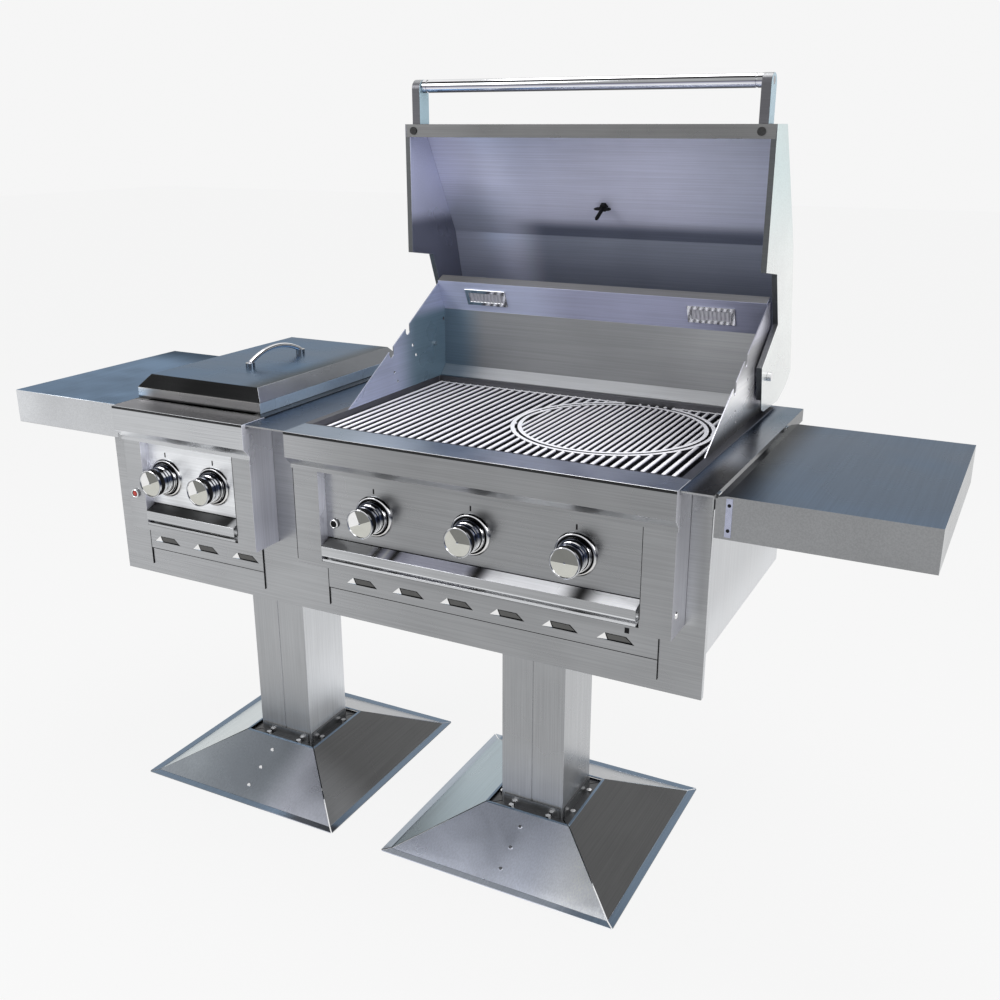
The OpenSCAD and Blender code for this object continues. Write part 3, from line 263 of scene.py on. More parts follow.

# %% [markdown]
# ### Drip tray and lid finishes
# The trays' sills lie right under the knobs and carry their painted reflections as soft dark spots, and the
# lid's slopes carry painted reflections of whatever stands beside them. Modelled mirror images would need
# the whole room, so painted spots and fades stand for them here.

# %% Finishes of the trays and the lid
# Painted shade and highlight: a dark line and a pale line are laid over each other along the tray's lower
# front, and above them the front is paler towards the left and darker towards the right.
tray_steel = steel("tray_steel", grey(0.43), top=(0.3, 0.3, 0.36), under=grey(0.2), rough=0.2,
                   fade=[("Y-", "Z", 0.6695, 0.6685, grey(0.01), 0.97),
                         ("Y-", "Z", 0.6708, 0.6700, grey(0.9), 0.7),
                         ("Y-", "X", 0.0, -0.15, grey(0.55), 0.9, ("Z", 0.6708, 0.6712)),
                         ("Y-", "X", 0.15, 0.35, grey(0.34), 0.9, ("Z", 0.6708, 0.6712))])
# Painted reflections on the sill's top: dark spots under the knobs, dark to the left and pale to the right.
sill_steel = steel("sill_steel", grey(0.37), top=(0.27, 0.275, 0.34), rough=0.25, metal=0.15,
                   fade=[("Z+", "X", -0.035, -0.05, grey(0.09), 1.0),
                         ("Z+", "X", 0.165, 0.22, (0.95, 0.96, 1.0), 1.0)],
                   spots=[("Z+", "X", -0.033, 0.018, grey(0.002), 1.0),
                          ("Z+", "X", -0.013, 0.006, grey(0.4), 1.0),
                          ("Z+", "X", 0.006, 0.016, grey(0.01), 1.0),
                          ("Z+", "X", 0.180, 0.028, grey(0.02), 1.0),
                          ("Z+", "X", 0.380, 0.045, grey(0.02), 1.0)])
# Painted shade: the side tray's and side sill's tops are near black, the sill paler at its left end.
side_tray_steel = steel("side_tray_steel", grey(0.50), top=grey(0.10), under=grey(0.2), rough=0.2)
side_sill_steel = steel("side_sill_steel", grey(0.5), top=grey(0.02), rough=0.3, metal=0.3, edge=0.4,
                        fade=[("Z+", "X", -0.385, -0.372, grey(0.5), 1.0)])
# The lid's front is painted pale at its left end and dark at its foot, and its top darker towards its right
# end: painted light, painted shade and painted reflection.
lid_steel = steel("lid_steel", grey(0.34, 0.97), top=(0.135, 0.225, 0.345), left=grey(0.5), rough=0.26,
                  edge=0.55, turn=(0.80, 0.95), flat=(0.85, 0.95),
                  fade=[("Y-", "X", -0.60, -0.65, grey(0.95, 0.97), 1.0),
                        ("Y-", "Z", 0.9140, 0.9115, grey(0.06), 0.9),
                        ("Z+", "X", -0.41, -0.35, (0.06, 0.085, 0.105), 1.0)])
# The front bevel's near black and the side bevels' grey are painted reflections.
lid_front_bevel = steel("lid_front_bevel", grey(0.012), top=grey(0.012), rough=0.2)
lid_side_bevel = steel("lid_side_bevel", grey(0.19, 1.12), top=grey(0.19, 1.12), rough=0.25,
                       fade=[("", "Y", 0.0, -0.2, grey(0.32, 1.1), 1.0)])
lid_end_steel = steel("lid_end_steel", grey(0.3), right=(0.36, 0.46, 0.59), metal=0.4)
print("finishes so far:", len(bpy.data.materials))

# %% [markdown]
# ### Hood and fire box finishes, with painted light
# The open hood looks down on the grates, so its inside carries a painted reflection that runs from a pale
# lavender to near black. The fire box sheets are rougher and duller, and their dark tone is painted shade
# inside the box. One finish for all would be shorter, but the hood's two ends face different ways and need
# painted tones of their own.

# %% Finishes of the hood and the fire box
# The hood's inside tone is a painted reflection, with darker painted bands low on the hood and paler ones
# towards its left.
LAVENDER_REFLECTION = (0.58, 0.595, 0.75)
hood_steel = steel("hood_steel", LAVENDER_REFLECTION, top=grey(0.21, 0.98), under=LAVENDER_REFLECTION, back=grey(0.34), rough=0.4,
                   right=(0.80, 0.87, 0.86), left=(0.36, 0.37, 0.46), metal=0.4,
                   fade=[("Y-", "X", 0.25, 0.54, (0.50, 0.53, 0.66), 1.0),
                         ("", "Z", 1.262, 1.232, (0.12, 0.136, 0.19), 0.97),
                         ("", "Z", 1.222, 1.214, (0.20, 0.22, 0.28), 0.97),
                         ("Y-", "X", 0.02, -0.10, (0.74, 0.76, 0.95), 0.9),
                         ("Y-", "Z", 1.34, 1.25, (0.42, 0.46, 0.58), 0.8, ("X", 0.0, -0.15))])
# The hood's lip is painted darker than its inside.
hood_lip_steel = steel("hood_lip_steel", grey(0.17, 1.02), top=grey(0.17), under=grey(0.17), metal=0.8)
# The hood's ends and the light bar take painted reflections by direction and height.
left_hood_steel = steel("left_hood_steel", (0.09, 0.095, 0.10), top=grey(0.2), under=grey(0.3), metal=0.5,
                        back=grey(0.34), right=(0.62, 0.645, 0.82), left=grey(0.7),
                        fade=[("X+", "Z", 1.275, 1.24, (0.16, 0.17, 0.23), 1.0)])
right_hood_steel = steel("right_hood_steel", (0.09, 0.095, 0.10), top=grey(0.2), under=grey(0.3), metal=0.8,
                         back=grey(0.34), right=(0.63, 0.74, 0.745), left=(0.33, 0.335, 0.44),
                         fade=[("X+", "Z", 1.4, 1.15, (0.86, 0.88, 0.87), 1.0)])
bar_steel = steel("bar_steel", (0.50, 0.54, 0.72), top=grey(0.23, 0.97), under=(0.50, 0.54, 0.72),
                  metal=0.3,
                  fade=[("Y-", "X", 0.0, 0.13, (0.37, 0.385, 0.53), 1.0),
                        ("Y-", "X", 0.36, 0.54, (0.17, 0.18, 0.25), 1.0)])
# The rear wall and the fire box's side panels take painted reflections by direction and height; the right
# panel's outer face goes near black at its foot as painted shade.
rear_steel = steel("rear_steel", grey(0.235, 1.06), top=grey(0.4), rough=0.42, metal=0.5,
                   fade=[("Y-", "X", -0.09, -0.165, (0.14, 0.20, 0.26), 1.0),
                         ("Y-", "X", 0.25, 0.5, grey(0.34, 1.05), 1.0)])
left_panel_steel = steel("left_panel_steel", (0.2, 0.21, 0.22), right=(0.16, 0.24, 0.31), left=grey(0.5),
                         top=(0.3, 0.32, 0.4), metal=0.4, grain="Y",
                         fade=[("X+", "Y", 0.10, 0.0, (0.42, 0.46, 0.63), 1.0),
                               ("X+", "Z", 1.045, 1.07, (0.42, 0.46, 0.63), 0.9)])
right_panel_steel = steel("right_panel_steel", (0.4, 0.4, 0.42), top=(0.5, 0.5, 0.55), metal=0.8,
                          right=(0.98, 0.98, 1.0), left=(0.16, 0.165, 0.18), grain="Y",
                          fade=[("X+", "Z", 0.955, 0.915, (0.02, 0.02, 0.024), 0.97),
                                ("X+", "Z", 0.985, 1.03, (0.30, 0.30, 0.32), 0.9),
                                ("X+", "Z", 1.045, 1.075, (0.66, 0.66, 0.76), 0.9)])
# Painted shade: the fire box, the burners and the flame tamers under the grates are given a dark tone.
firebox_shade_steel = steel("firebox_shade_steel", (0.10, 0.10, 0.11), top=(0.06, 0.063, 0.078), right=(0.12, 0.12, 0.14),
                     left=(0.1, 0.1, 0.12), rough=0.42, metal=0.8)
# Painted shade: the side burner's tub is given a dark grey.
tub_steel = steel("tub_steel", grey(0.12), top=grey(0.115, 1.02), rough=0.3)
print("finishes so far:", len(bpy.data.materials))

# %% [markdown]
# ### Pedestal finishes
# Each pyramid's four slopes face four ways and its flat rim mirrors the sky. A lamp for every slope would
# disturb the rest, so each direction is given a painted tone of light and shade here, the rim a painted
# reflection of the sky, and fades along the posts and skirts add more painted light and shade.

# %% Finishes of the pedestals
# Painted light and shade: the posts' fronts and right faces change tone along their height and across the
# cabinet.
post_steel = steel("post_steel", grey(0.41), right=grey(0.62), left=grey(0.4), grain="Z",
                   fade=[("Y-", "X", -0.1, 0.1, grey(0.35), 1.0), ("Y-", "Z", 0.36, 0.13, grey(0.36), 1.0),
                         ("X+", "Z", 0.40, 0.13, grey(0.80), 1.0),
                         ("X+", "X", 0.0, 0.2, grey(0.49), 0.9)])
foot_steel = steel("foot_steel", grey(0.2), top=grey(0.10), right=grey(0.3))
# The rim's blue-grey is a painted reflection of the sky.
RIM_SKY_REFLECTION = (0.16, 0.215, 0.285)
# Painted shade: the left skirt's rim carries a dark patch near its front right corner.
left_skirt_steel = steel("left_skirt_steel", (0.20, 0.22, 0.245), top=RIM_SKY_REFLECTION, right=grey(0.105, 1.02),
                         left=(0.58, 0.63, 0.64), back=grey(0.4), turn=(0.2, 0.33), flat=(0.93, 0.98),
                         grain="Y",
                         fade=[("Y-", "X", -0.43, -0.33, (0.50, 0.52, 0.59), 1.0),
                               ("Y-", "X", -0.50, -0.66, (0.27, 0.295, 0.32), 0.9),
                               ("X+", "Y", -0.1, -0.27, grey(0.26, 1.05), 1.0),
                               ("Z+", "X", -0.36, -0.29, (0.06, 0.065, 0.075), 1.0, ("Y", -0.27, -0.29))])
right_skirt_steel = steel("right_skirt_steel", (0.64, 0.68, 0.79), top=RIM_SKY_REFLECTION, right=grey(0.10, 1.02),
                          left=(0.36, 0.44, 0.48), back=grey(0.4), turn=(0.2, 0.33), flat=(0.93, 0.98),
                          grain="Y",
                          fade=[("Y-", "X", 0.24, 0.36, (0.92, 0.95, 1.0), 1.0),
                                ("Z+", "X", -0.046, -0.056, (0.42, 0.47, 0.53), 1.0),
                                ("Z+", "Y", -0.284, -0.291, (0.34, 0.37, 0.42), 1.0, ("X", 0.42, 0.30))])
print("finishes so far:", len(bpy.data.materials))

# %% [markdown]
# ## Polished finishes
# Polished trim mirrors a whole room: white card, black card, horizon. A studio with nothing in it would
# leave such trim flat, so the polished finishes carry painted reflections: soft bands that follow how each
# face tilts.

# %% Painted reflection bands of a polished finish
def banded(name, stops, rough=0.09, metal=1.0):
    made, tree, shader = start(name, metal, rough)
    place = add(tree, "TexCoord")
    face = add(tree, "SeparateXYZ", {"Vector": place.outputs["Normal"]})
    where = add(tree, "MapRange", {"Value": face.outputs["Z"], "From Min": -1.0, "From Max": 1.0})
    ramp = add(tree, "ValToRGB", {"Fac": where.outputs["Result"]})
    points = ramp.color_ramp.elements
    points.remove(points[1])
    for i, (tilt, tone) in enumerate(stops):
        point = points[0] if i == 0 else points.new((tilt + 1) / 2)
        point.position = (tilt + 1) / 2
        point.color = (*tone, 1)
    cloud = add(tree, "TexNoise", {"Vector": place.outputs["Object"], "Scale": 9.0, "Detail": 2.0})
    colour = dappled(tree, ramp.outputs["Color"], cloud, 0.3, 0.7, 0.93)
    tree.links.new(colour, shader.inputs["Base Color"])
    return made


BLACK, WHITE = (0.012, 0.012, 0.014), (0.93, 0.93, 0.95)
knob_chrome = banded("knob_chrome", [
    (-1.0, grey(0.05)), (-0.85, grey(0.07)), (-0.7, grey(0.75, 0.98)), (-0.2, grey(0.8)),
    (-0.05, grey(0.45)), (0.1, (0.03, 0.04, 0.08)), (0.42, (0.04, 0.05, 0.08)), (0.52, WHITE),
    (0.74, WHITE), (0.84, BLACK), (1.0, BLACK)])
bezel_chrome = banded("bezel_chrome", [
    (-1.0, grey(0.05)), (-0.8, grey(0.06)), (-0.66, grey(0.7, 0.96)), (-0.15, grey(0.78, 0.97)),
    (0.0, grey(0.5)), (0.1, (0.04, 0.05, 0.08)), (0.34, WHITE), (0.42, WHITE), (0.5, BLACK), (0.85, BLACK),
    (1.0, grey(0.5))])
tube_chrome = banded("tube_chrome", [
    (-1.0, BLACK), (-0.86, grey(0.08)), (-0.74, (0.62, 0.68, 0.92)), (-0.4, WHITE), (-0.22, (0.5, 0.5, 0.6)),
    (-0.08, (0.10, 0.10, 0.13)), (0.02, grey(0.34)), (0.3, grey(0.45)), (0.42, grey(0.05)), (0.6, BLACK),
    (0.7, WHITE), (0.9, WHITE), (1.0, grey(0.3))])
# The grate bars aren't polished: their bands are a painted highlight on top and painted shade down the
# sides.
grate_steel = banded("grate_steel", [
    (-1.0, BLACK), (0.1, (0.04, 0.04, 0.05)), (0.4, (0.22, 0.22, 0.27)), (0.64, (0.80, 0.80, 0.90)),
    (0.9, (1.0, 1.0, 1.0)), (1.0, (0.95, 0.95, 1.0))], 0.3, 0.15)
print("finishes so far:", len(bpy.data.materials))

# %% [markdown]
# ### Cast and moulded finishes
# Cast iron is rough and black, brass is warm, rubber is matt, and the lamp glass is milky. Each has one
# colour with a faint clouding, and a relief where the real surface is grainy. Image textures would show
# more grain than the eye can see at this size.

# %% Plain finishes
def plain(name, colour, metallic, rough, scale=60.0, relief=0.0, spread=0.12, **constants):
    made, tree, shader = start(name, metallic, rough, **constants)
    place = add(tree, "TexCoord")
    cloud = add(tree, "TexNoise", {"Vector": place.outputs["Object"], "Scale": scale, "Detail": 3.0})
    tree.links.new(dappled(tree, colour, cloud, 0.3, 0.7, 1 - spread), shader.inputs["Base Color"])
    tree.links.new(between(tree, cloud.outputs["Fac"], 0.3, 0.7, rough * 0.85, rough * 1.2),
                   shader.inputs["Roughness"])
    if relief:
        bump = add(tree, "Bump", {"Height": cloud.outputs["Fac"], "Strength": 0.4, "Distance": relief})
        tree.links.new(bump.outputs["Normal"], shader.inputs["Normal"])
    return made


chrome = plain("chrome", (0.80, 0.80, 0.81), 1.0, 0.07, 9.0, spread=0.05)
# face_grey, face_pale and face_white are painted reflections on the knobs' facets; face_white is also the
# painted light on the louvres' cheeks, and flap_grey the painted shade on their flaps.
face_grey = plain("face_grey", (0.21, 0.212, 0.20), 1.0, 0.2, spread=0.05)
flap_grey = plain("flap_grey", (0.12, 0.12, 0.118), 1.0, 0.3, spread=0.1)
leaf_steel = plain("leaf_steel", (0.42, 0.44, 0.56), 0.8, 0.25, spread=0.2)
face_pale = plain("face_pale", (0.60, 0.60, 0.555), 1.0, 0.2, spread=0.05)
face_white = plain("face_white", (0.88, 0.88, 0.88), 1.0, 0.15, spread=0.04)
black_band = plain("black_band", (0.006, 0.006, 0.007), 0.0, 0.6, 200.0, 0.0001, Specular_IOR_Level=0.12)
cast_iron = plain("cast_iron", (0.035, 0.035, 0.037), 0.3, 0.6, 350.0, 0.0006)
brass = plain("brass", (0.60, 0.46, 0.22), 1.0, 0.3, 80.0)
rubber = plain("rubber", (0.012, 0.012, 0.012), 0.0, 0.7, 300.0, 0.0002)
red_plastic = plain("red_plastic", (0.42, 0.03, 0.02), 0.0, 0.3, 90.0)
dial_white = plain("dial_white", (0.75, 0.75, 0.72), 0.0, 0.4, 40.0)
lens_glass = plain("lens_glass", (0.50, 0.50, 0.55), 0.2, 0.22, 120.0, 0.0004)
print("finishes:", len(bpy.data.materials))

# %% [markdown]
# ## Softened copies of the sheet metal
# A real folded sheet has no razor edge: each rim is dressed and each bend has a radius, and that thin
# rounding is what catches the light. The CAD solids are sharp. Editing them isn't allowed, so each one is
# copied, its loose triangles are merged into flat faces, and its edges are bevelled: broadly where two wide
# faces meet at a bend, finely round the rim of the sheet. The wide faces stay flat-shaded and only the
# rounding is smooth.

# %% The helper that finishes a piece
def finish_piece(bm, name, body, material, stands_for=(), smooth=None):
    mesh = bpy.data.meshes.new(name)
    bm.to_mesh(mesh)
    bm.free()
    if smooth:
        for polygon in mesh.polygons:
            polygon.use_smooth = True
        mesh.set_sharp_from_angle(angle=math.radians(smooth))
    piece = bpy.data.objects.new(name, mesh)
    scene.collection.objects.link(piece)
    for one in material if isinstance(material, (list, tuple)) else [material]:
        mesh.materials.append(one)
    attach(piece, body)
    if stands_for:
        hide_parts(*stands_for)
    return piece


def report(piece):
    print(piece.name, len(piece.data.polygons), "faces")


print("pieces can ride", sorted(set(body_of.values())))

# %% The helper that softens a sheet
WELD = 1e-6
FLAT_TURN = math.radians(0.5)
BEND_TURN, RIM_TURN = math.radians(25), math.radians(38)
WIDE_FACE = 0.004
RIM_BEVEL, TIGHT_BEND, BROAD_BEND = 0.0006, 0.0006, 0.0015


def sharp_edges(bm, turn, widest):
    found = []
    for edge in bm.edges:
        if edge.is_manifold and edge.calc_face_angle() > turn:
            span = min(f.calc_area() for f in edge.link_faces) / edge.calc_length()
            if (span > WIDE_FACE) == widest:
                found.append(edge)
    return found


def softened(node, material, bend=TIGHT_BEND, choose=None):
    bm = bmesh.new()
    bm.from_mesh(nodes[node].data)
    bmesh.ops.remove_doubles(bm, verts=bm.verts, dist=WELD)
    bmesh.ops.dissolve_limit(bm, angle_limit=FLAT_TURN, verts=bm.verts, edges=bm.edges)
    for face in bm.faces:
        face.smooth = False
    for turn, widest, width, segments in ((BEND_TURN, True, bend, 3), (RIM_TURN, False, RIM_BEVEL, 2)):
        edges = sharp_edges(bm, turn, widest)
        if edges:
            made = bmesh.ops.bevel(bm, geom=edges, offset=width, segments=segments, profile=0.5,
                                   affect="EDGES", clamp_overlap=True, material=-1)
            for face in made["faces"]:
                face.smooth = True
    if choose:
        for face in bm.faces:
            face.material_index = choose(face.normal, face.calc_center_median())
    report(finish_piece(bm, node + "_sheet", body_of[node], material, (node,)))


print("a face wider than", WIDE_FACE * 1000, "mm counts as a wide face")

# %% [markdown]
# ### Sheets with a tight bend
# The walls, panels and fire box sheets are folded tight, so from here a bend reads as one thin line. Each
# could be modelled again from its sizes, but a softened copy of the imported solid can't drift away from it.

# %% The sheet metal of the cabinet and heads
SHEETS = {
    "left_post": post_steel, "right_post": post_steel, "left_side_wall": wall_steel,
    "right_side_wall": wall_steel, "back_panel": wall_steel, "shelf_hinge_brackets": wall_steel,
    "grill_control_panel": control_steel, "side_control_panel": side_control_steel,
    "firebox": firebox_shade_steel, "firebox_left_panel": left_panel_steel,
    "firebox_right_panel": right_panel_steel, "rear_wall": rear_steel, "light_bar": bar_steel,
    "hood_left_side": left_hood_steel, "hood_right_side": right_hood_steel,
    "handle_brackets": bracket_steel, "side_burner_tub": tub_steel, "post_foot_brackets": foot_steel,
    "cabinet_floor": wall_steel, "post_caps": post_steel,
}
for node, material in SHEETS.items():
    softened(node, material)

# %% [markdown]
# ### Sheets with a broader bend
# The deck, the shelves, the front panel and the pyramid skirts are pressed over a rounder edge that catches
# a visible highlight. The same helper makes it with a wider bevel, which is simpler than a second method.

# %% Sheets with a broader bend
BENT = {
    "front_panel": panel_steel, "deck": deck_steel, "left_shelf": left_shelf_steel,
    "right_shelf": right_shelf_steel, "left_base_skirts": left_skirt_steel,
    "right_base_skirts": right_skirt_steel,
}
for node, material in BENT.items():
    softened(node, material, bend=BROAD_BEND)

# %% [markdown]
# ### Sheets with two or more finishes
# Some sheets take more than one finish. The heads' right ends carry a painted reflection of the pale ground
# beside them, the sills of the drip trays painted reflections of the knobs above, the lid's front bevel a
# painted reflection of the dark fire side while its side bevels are greyer, and the lip along the hood's
# open edge is painted darker than its inside. Each could be cut into separate pieces, but a rule that reads
# a face's direction and place keeps the sheet whole.

# %% Rules that choose a finish
def head_end(normal, middle):
    return 1 if normal.x > 0.7 else 0


def sill(normal, middle):
    return 1 if normal.z > 0.7 and middle.y < -0.325 else 0


def lid_side(normal, middle):
    if 0.25 < normal.z < 0.95:
        return 1 if normal.y < -0.3 else 2
    return 3 if normal.x > 0.7 else 0


def hood_part(normal, middle):
    return 1 if middle.z > 1.438 or middle.y < 0.1 and abs(normal.y) > 0.7 else 0


MIXED = {
    "grill_frame": ([frame_steel, head_end_steel], TIGHT_BEND, head_end),
    "side_frame": ([frame_steel, head_end_steel], TIGHT_BEND, head_end),
    "grill_fascia": ([fascia_steel, head_end_steel], BROAD_BEND, head_end),
    "side_fascia": ([side_fascia_steel, head_end_steel], BROAD_BEND, head_end),
    "grill_drip_tray": ([tray_steel, sill_steel], BROAD_BEND, sill),
    "side_drip_tray": ([side_tray_steel, side_sill_steel], BROAD_BEND, sill),
    "side_lid": ([lid_steel, lid_front_bevel, lid_side_bevel, lid_end_steel], BROAD_BEND, lid_side),
    "hood_skin": ([hood_steel, hood_lip_steel], TIGHT_BEND, hood_part),
}
for node, (materials, bend, rule) in MIXED.items():
    softened(node, materials, bend=bend, choose=rule)

# %% [markdown]
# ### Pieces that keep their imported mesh
# Bolts, burners, gas valves, rods and grate bars are small, round or hidden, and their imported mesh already
# has the right form. Making them again would add nothing that a reader could see, so they only take a
# finish.

# %% CAD nodes that keep their mesh
KEPT = {
    "base_plates": post_steel, "foot_bolts": chrome, "skirt_screws": chrome, "flame_tamers": firebox_shade_steel,
    "burners": firebox_shade_steel, "gas_manifold": brass, "gas_valves": brass, "hood_hinge_pins": chrome,
    "hood_bumpers": rubber, "side_burner": cast_iron, "pan_support": cast_iron,
    "side_lid_handle": tube_chrome, "cooking_grates": grate_steel, "round_grate": grate_steel,
    "vent_strips": panel_steel,
}
for node, material in KEPT.items():
    nodes[node].data.materials.clear()
    nodes[node].data.materials.append(material)
print("left as they are:", len(KEPT))

# %% [markdown]
# ## Turned pieces
# Knobs, bezels and buttons are turned or die-cast round. A lathe does the same here: half a profile, drawn
# as radius and height, is spun once about its axis. Every profile below is in millimetres, and its height
# is measured outwards from the fascia's front plane, so knob and panel stay in step.

# %% The lathe
FRONT_DEPTH = 358.5


def facing(x, y, z, axis):
    place = Matrix.Translation((x / 1000, (y - FRONT_DEPTH) / 1000, z / 1000))
    return place @ Matrix.Rotation(math.pi / 2, 4, axis)


def outwards(x, z, y=0.0):
    return facing(x, y, z, "X")


def turned(bm, profile, place, steps=40):
    verts = [bm.verts.new(place @ Vector((r / 1000, 0, h / 1000))) for r, h in profile]
    edges = [bm.edges.new(pair) for pair in zip(verts, verts[1:])]
    axis = place.to_3x3() @ Vector((0, 0, 1))
    bmesh.ops.spin(bm, geom=verts + edges, cent=place.translation, axis=axis, angle=2 * math.pi,
                   steps=steps, use_merge=True)
    bmesh.ops.remove_doubles(bm, verts=bm.verts, dist=WELD)
    bmesh.ops.recalc_face_normals(bm, faces=bm.faces)


def paint(bm, place, rule):
    back = place.inverted()
    for face in bm.faces:
        middle = back @ face.calc_center_median() * 1000
        angle = math.atan2(middle.y, middle.x)
        face.material_index = rule(math.hypot(middle.x, middle.y), middle.z, angle)


print("the fascia's front plane is at y =", -FRONT_DEPTH / 1000)

# %% [markdown]
# ### Knobs
# Each knob is a die-cast barrel with a rubber band behind its polished rim. Its face isn't flat: two to
# four shallow facets meet at a small centre dot, and each facet is given a painted reflection, so that part
# of the face shows the pale floor and part the dark hood. The facets could be cut with planes. Here they
# come from one lathe pass whose face vertices are then pressed onto planes, so the knob stays one closed
# skin.

# %% One knob
KNOB = [(0, 9.6), (25, 9.0), (25.8, 9.9), (27.2, 9.9), (28, 9.2), (28, 5.6), (27.2, 5.2), (27.2, -5.6),
        (28, -6), (28, -8.4), (26.2, -9.2), (26.2, -13.6), (28, -14.2), (28, -17.4), (26.4, -18),
        (26.4, -20.4), (28, -21.4), (28, -26.2), (27.2, -26.9), (4.2, -26.9), (4.2, -11.2), (0, -11.2)]
DOT = [(0, 9.98), (1.5, 9.9), (2.3, 9.4), (2.3, 8.4), (0, 8.4)]
FACET_TOP, FACET_SLOPE = 9.6, 0.045


def knob_piece(node, x, z, tilts):
    place = outwards(x, z)
    bm = bmesh.new()
    turned(bm, KNOB, place, 48)
    back = place.inverted()
    ways = [(math.cos(math.radians(a)), math.sin(math.radians(a))) for a, tone in tilts]
    for vert in bm.verts:
        spot = back @ vert.co * 1000
        if 8.9 < spot.z < 9.7 and math.hypot(spot.x, spot.y) < 25.3:
            spot.z = FACET_TOP - FACET_SLOPE * max(a * spot.x + b * spot.y for a, b in ways)
            vert.co = place @ (spot / 1000)

    def rule(r, h, angle):
        if h > 8.2 and r < 25:
            reach = [a * math.cos(angle) + b * math.sin(angle) for a, b in ways]
            return 2 + tilts[reach.index(max(reach))][1]
        return 1 if -5.7 < h < 5.3 and r > 26.8 else 0

    paint(bm, place, rule)
    turned(bm, DOT, place, 12)
    return finish_piece(bm, node + "_turned", body_of[node],
                        [knob_chrome, black_band, face_grey, face_pale, face_white], (node,), smooth=40)


print("a knob stands", KNOB[2][1] - KNOB[-3][1], "mm tall")

# %% The five knobs
# Each facet is the angle that it leans to, in degrees, and its painted reflection: 0 grey, 1 pale, 2 white.
WEDGE = [(65, 0), (-20, 1), (-110, 1), (160, 2)]
KNOBS = {"grill_knob_left": (-44.5, 756, WEDGE),
         "grill_knob_middle": (159.5, 756, [(65, 0), (-60, 1), (190, 1)]),
         "grill_knob_right": (363.5, 756, [(90, 0), (-90, 1)]),
         "side_knob_left": (-553.5, 757, WEDGE), "side_knob_right": (-428.5, 757, WEDGE)}
for node, (x, z, tilts) in KNOBS.items():
    report(knob_piece(node, x, z, tilts))

# %% [markdown]
# ### Bezels
# A bezel hides the hole round each valve stem. It is a domed ring with a groove and a collar, both painted
# black as painted shade. Three separate rings could be stacked, but one profile keeps them closed against
# each other, and the groove is found afterwards by its radius and depth.

# %% Bezels
BEZEL = [(40, -40), (40, -38), (39, -35.6), (37, -34.2), (35.4, -34), (34.8, -36.8), (33, -36.8),
         (32.6, -33.4), (31.8, -29.4), (30.8, -28.2), (29.2, -28), (28.4, -30.4), (6, -30.4), (6, -40),
         (40, -40)]
bm = bmesh.new()
for x, z, tilts in KNOBS.values():
    turned(bm, BEZEL, outwards(x, z), 48)
for face in bm.faces:
    middle = face.calc_center_median() * 1000
    depth = middle.y + FRONT_DEPTH
    x, z, tilts = min(KNOBS.values(), key=lambda knob: abs(knob[0] - middle.x))
    r = math.hypot(middle.x - x, middle.z - z)
    # The groove and the collar get black: painted shade.
    in_groove = 32.7 < r < 35.3 and depth < 39
    in_collar = r < 29 and depth < 31
    face.material_index = 1 if in_groove or in_collar else 0
report(finish_piece(bm, "bezels_turned", "station", [bezel_chrome, black_band], ("knob_bezels",), smooth=35))

# %% [markdown]
# ### Index marks
# The short dark line above each bezel is etched in the real panel. Cutting it would mean a new panel, and a
# picture of it would need an image. Here it is a thin inlay that stands a hair proud of the sheet.

# %% Index marks on the control panels
PANEL_DEPTH = 40


def block(bm, low, high):
    made = bmesh.ops.create_cube(bm, size=1.0)
    for vert in made["verts"]:
        vert.co = Vector([(a + b) / 2 + (b - a) * v for a, b, v in zip(low, high, vert.co)]) / 1000
        vert.co.y -= FRONT_DEPTH / 1000


bm = bmesh.new()
for x, z, tilts in KNOBS.values():
    block(bm, (x - 1.6, PANEL_DEPTH - 0.15, z + 43.5), (x + 1.6, PANEL_DEPTH + 0.3, z + 53.5))
bmesh.ops.bevel(bm, geom=bm.edges[:], offset=0.0001, segments=1, profile=0.5, affect="EDGES", material=-1)
report(finish_piece(bm, "index_marks", "station", black_band))

# %% [markdown]
# ### Igniter buttons
# Each head has a push button: a polished ring round a black or a red centre, with the narrow groove between
# them painted black as painted shade. Ring and centre move together, so one lathe profile makes both, and
# its faces are told apart by radius.

# %% Igniter buttons
BUTTON = [(0, 5.4), (4.6, 5.3), (5.3, 4.9), (5.6, 4.2), (6.3, 4.2), (6.6, 5.5), (7.4, 6), (8.2, 5.7),
          (9, 4.9), (9, 3.4), (6, 3.3), (6, -3), (0, -3)]


def button_part(r, h, angle):
    if h <= 3.9:
        return 0
    # Faces in the groove between centre and ring get black: painted shade.
    return 1 if r < 5.4 else 2 if r < 6.5 else 0


def button_piece(node, x, y, z, middle):
    bm = bmesh.new()
    place = outwards(x, z, y)
    turned(bm, BUTTON, place, 32)
    paint(bm, place, button_part)
    finishes = [chrome, middle, black_band]
    return finish_piece(bm, node + "_turned", body_of[node], finishes, (node,), smooth=35)


report(button_piece("grill_igniter", -135, PANEL_DEPTH, 727, black_band))
report(button_piece("side_igniter", -622, 18, 720, red_plastic))

# %% [markdown]
# ## Hood fittings
# ### Handle
# The handle is a polished tube with a collar at each end. A cylinder and four rings would do, but they would
# leave seams. One lathe profile along the tube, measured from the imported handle, makes it in one skin.

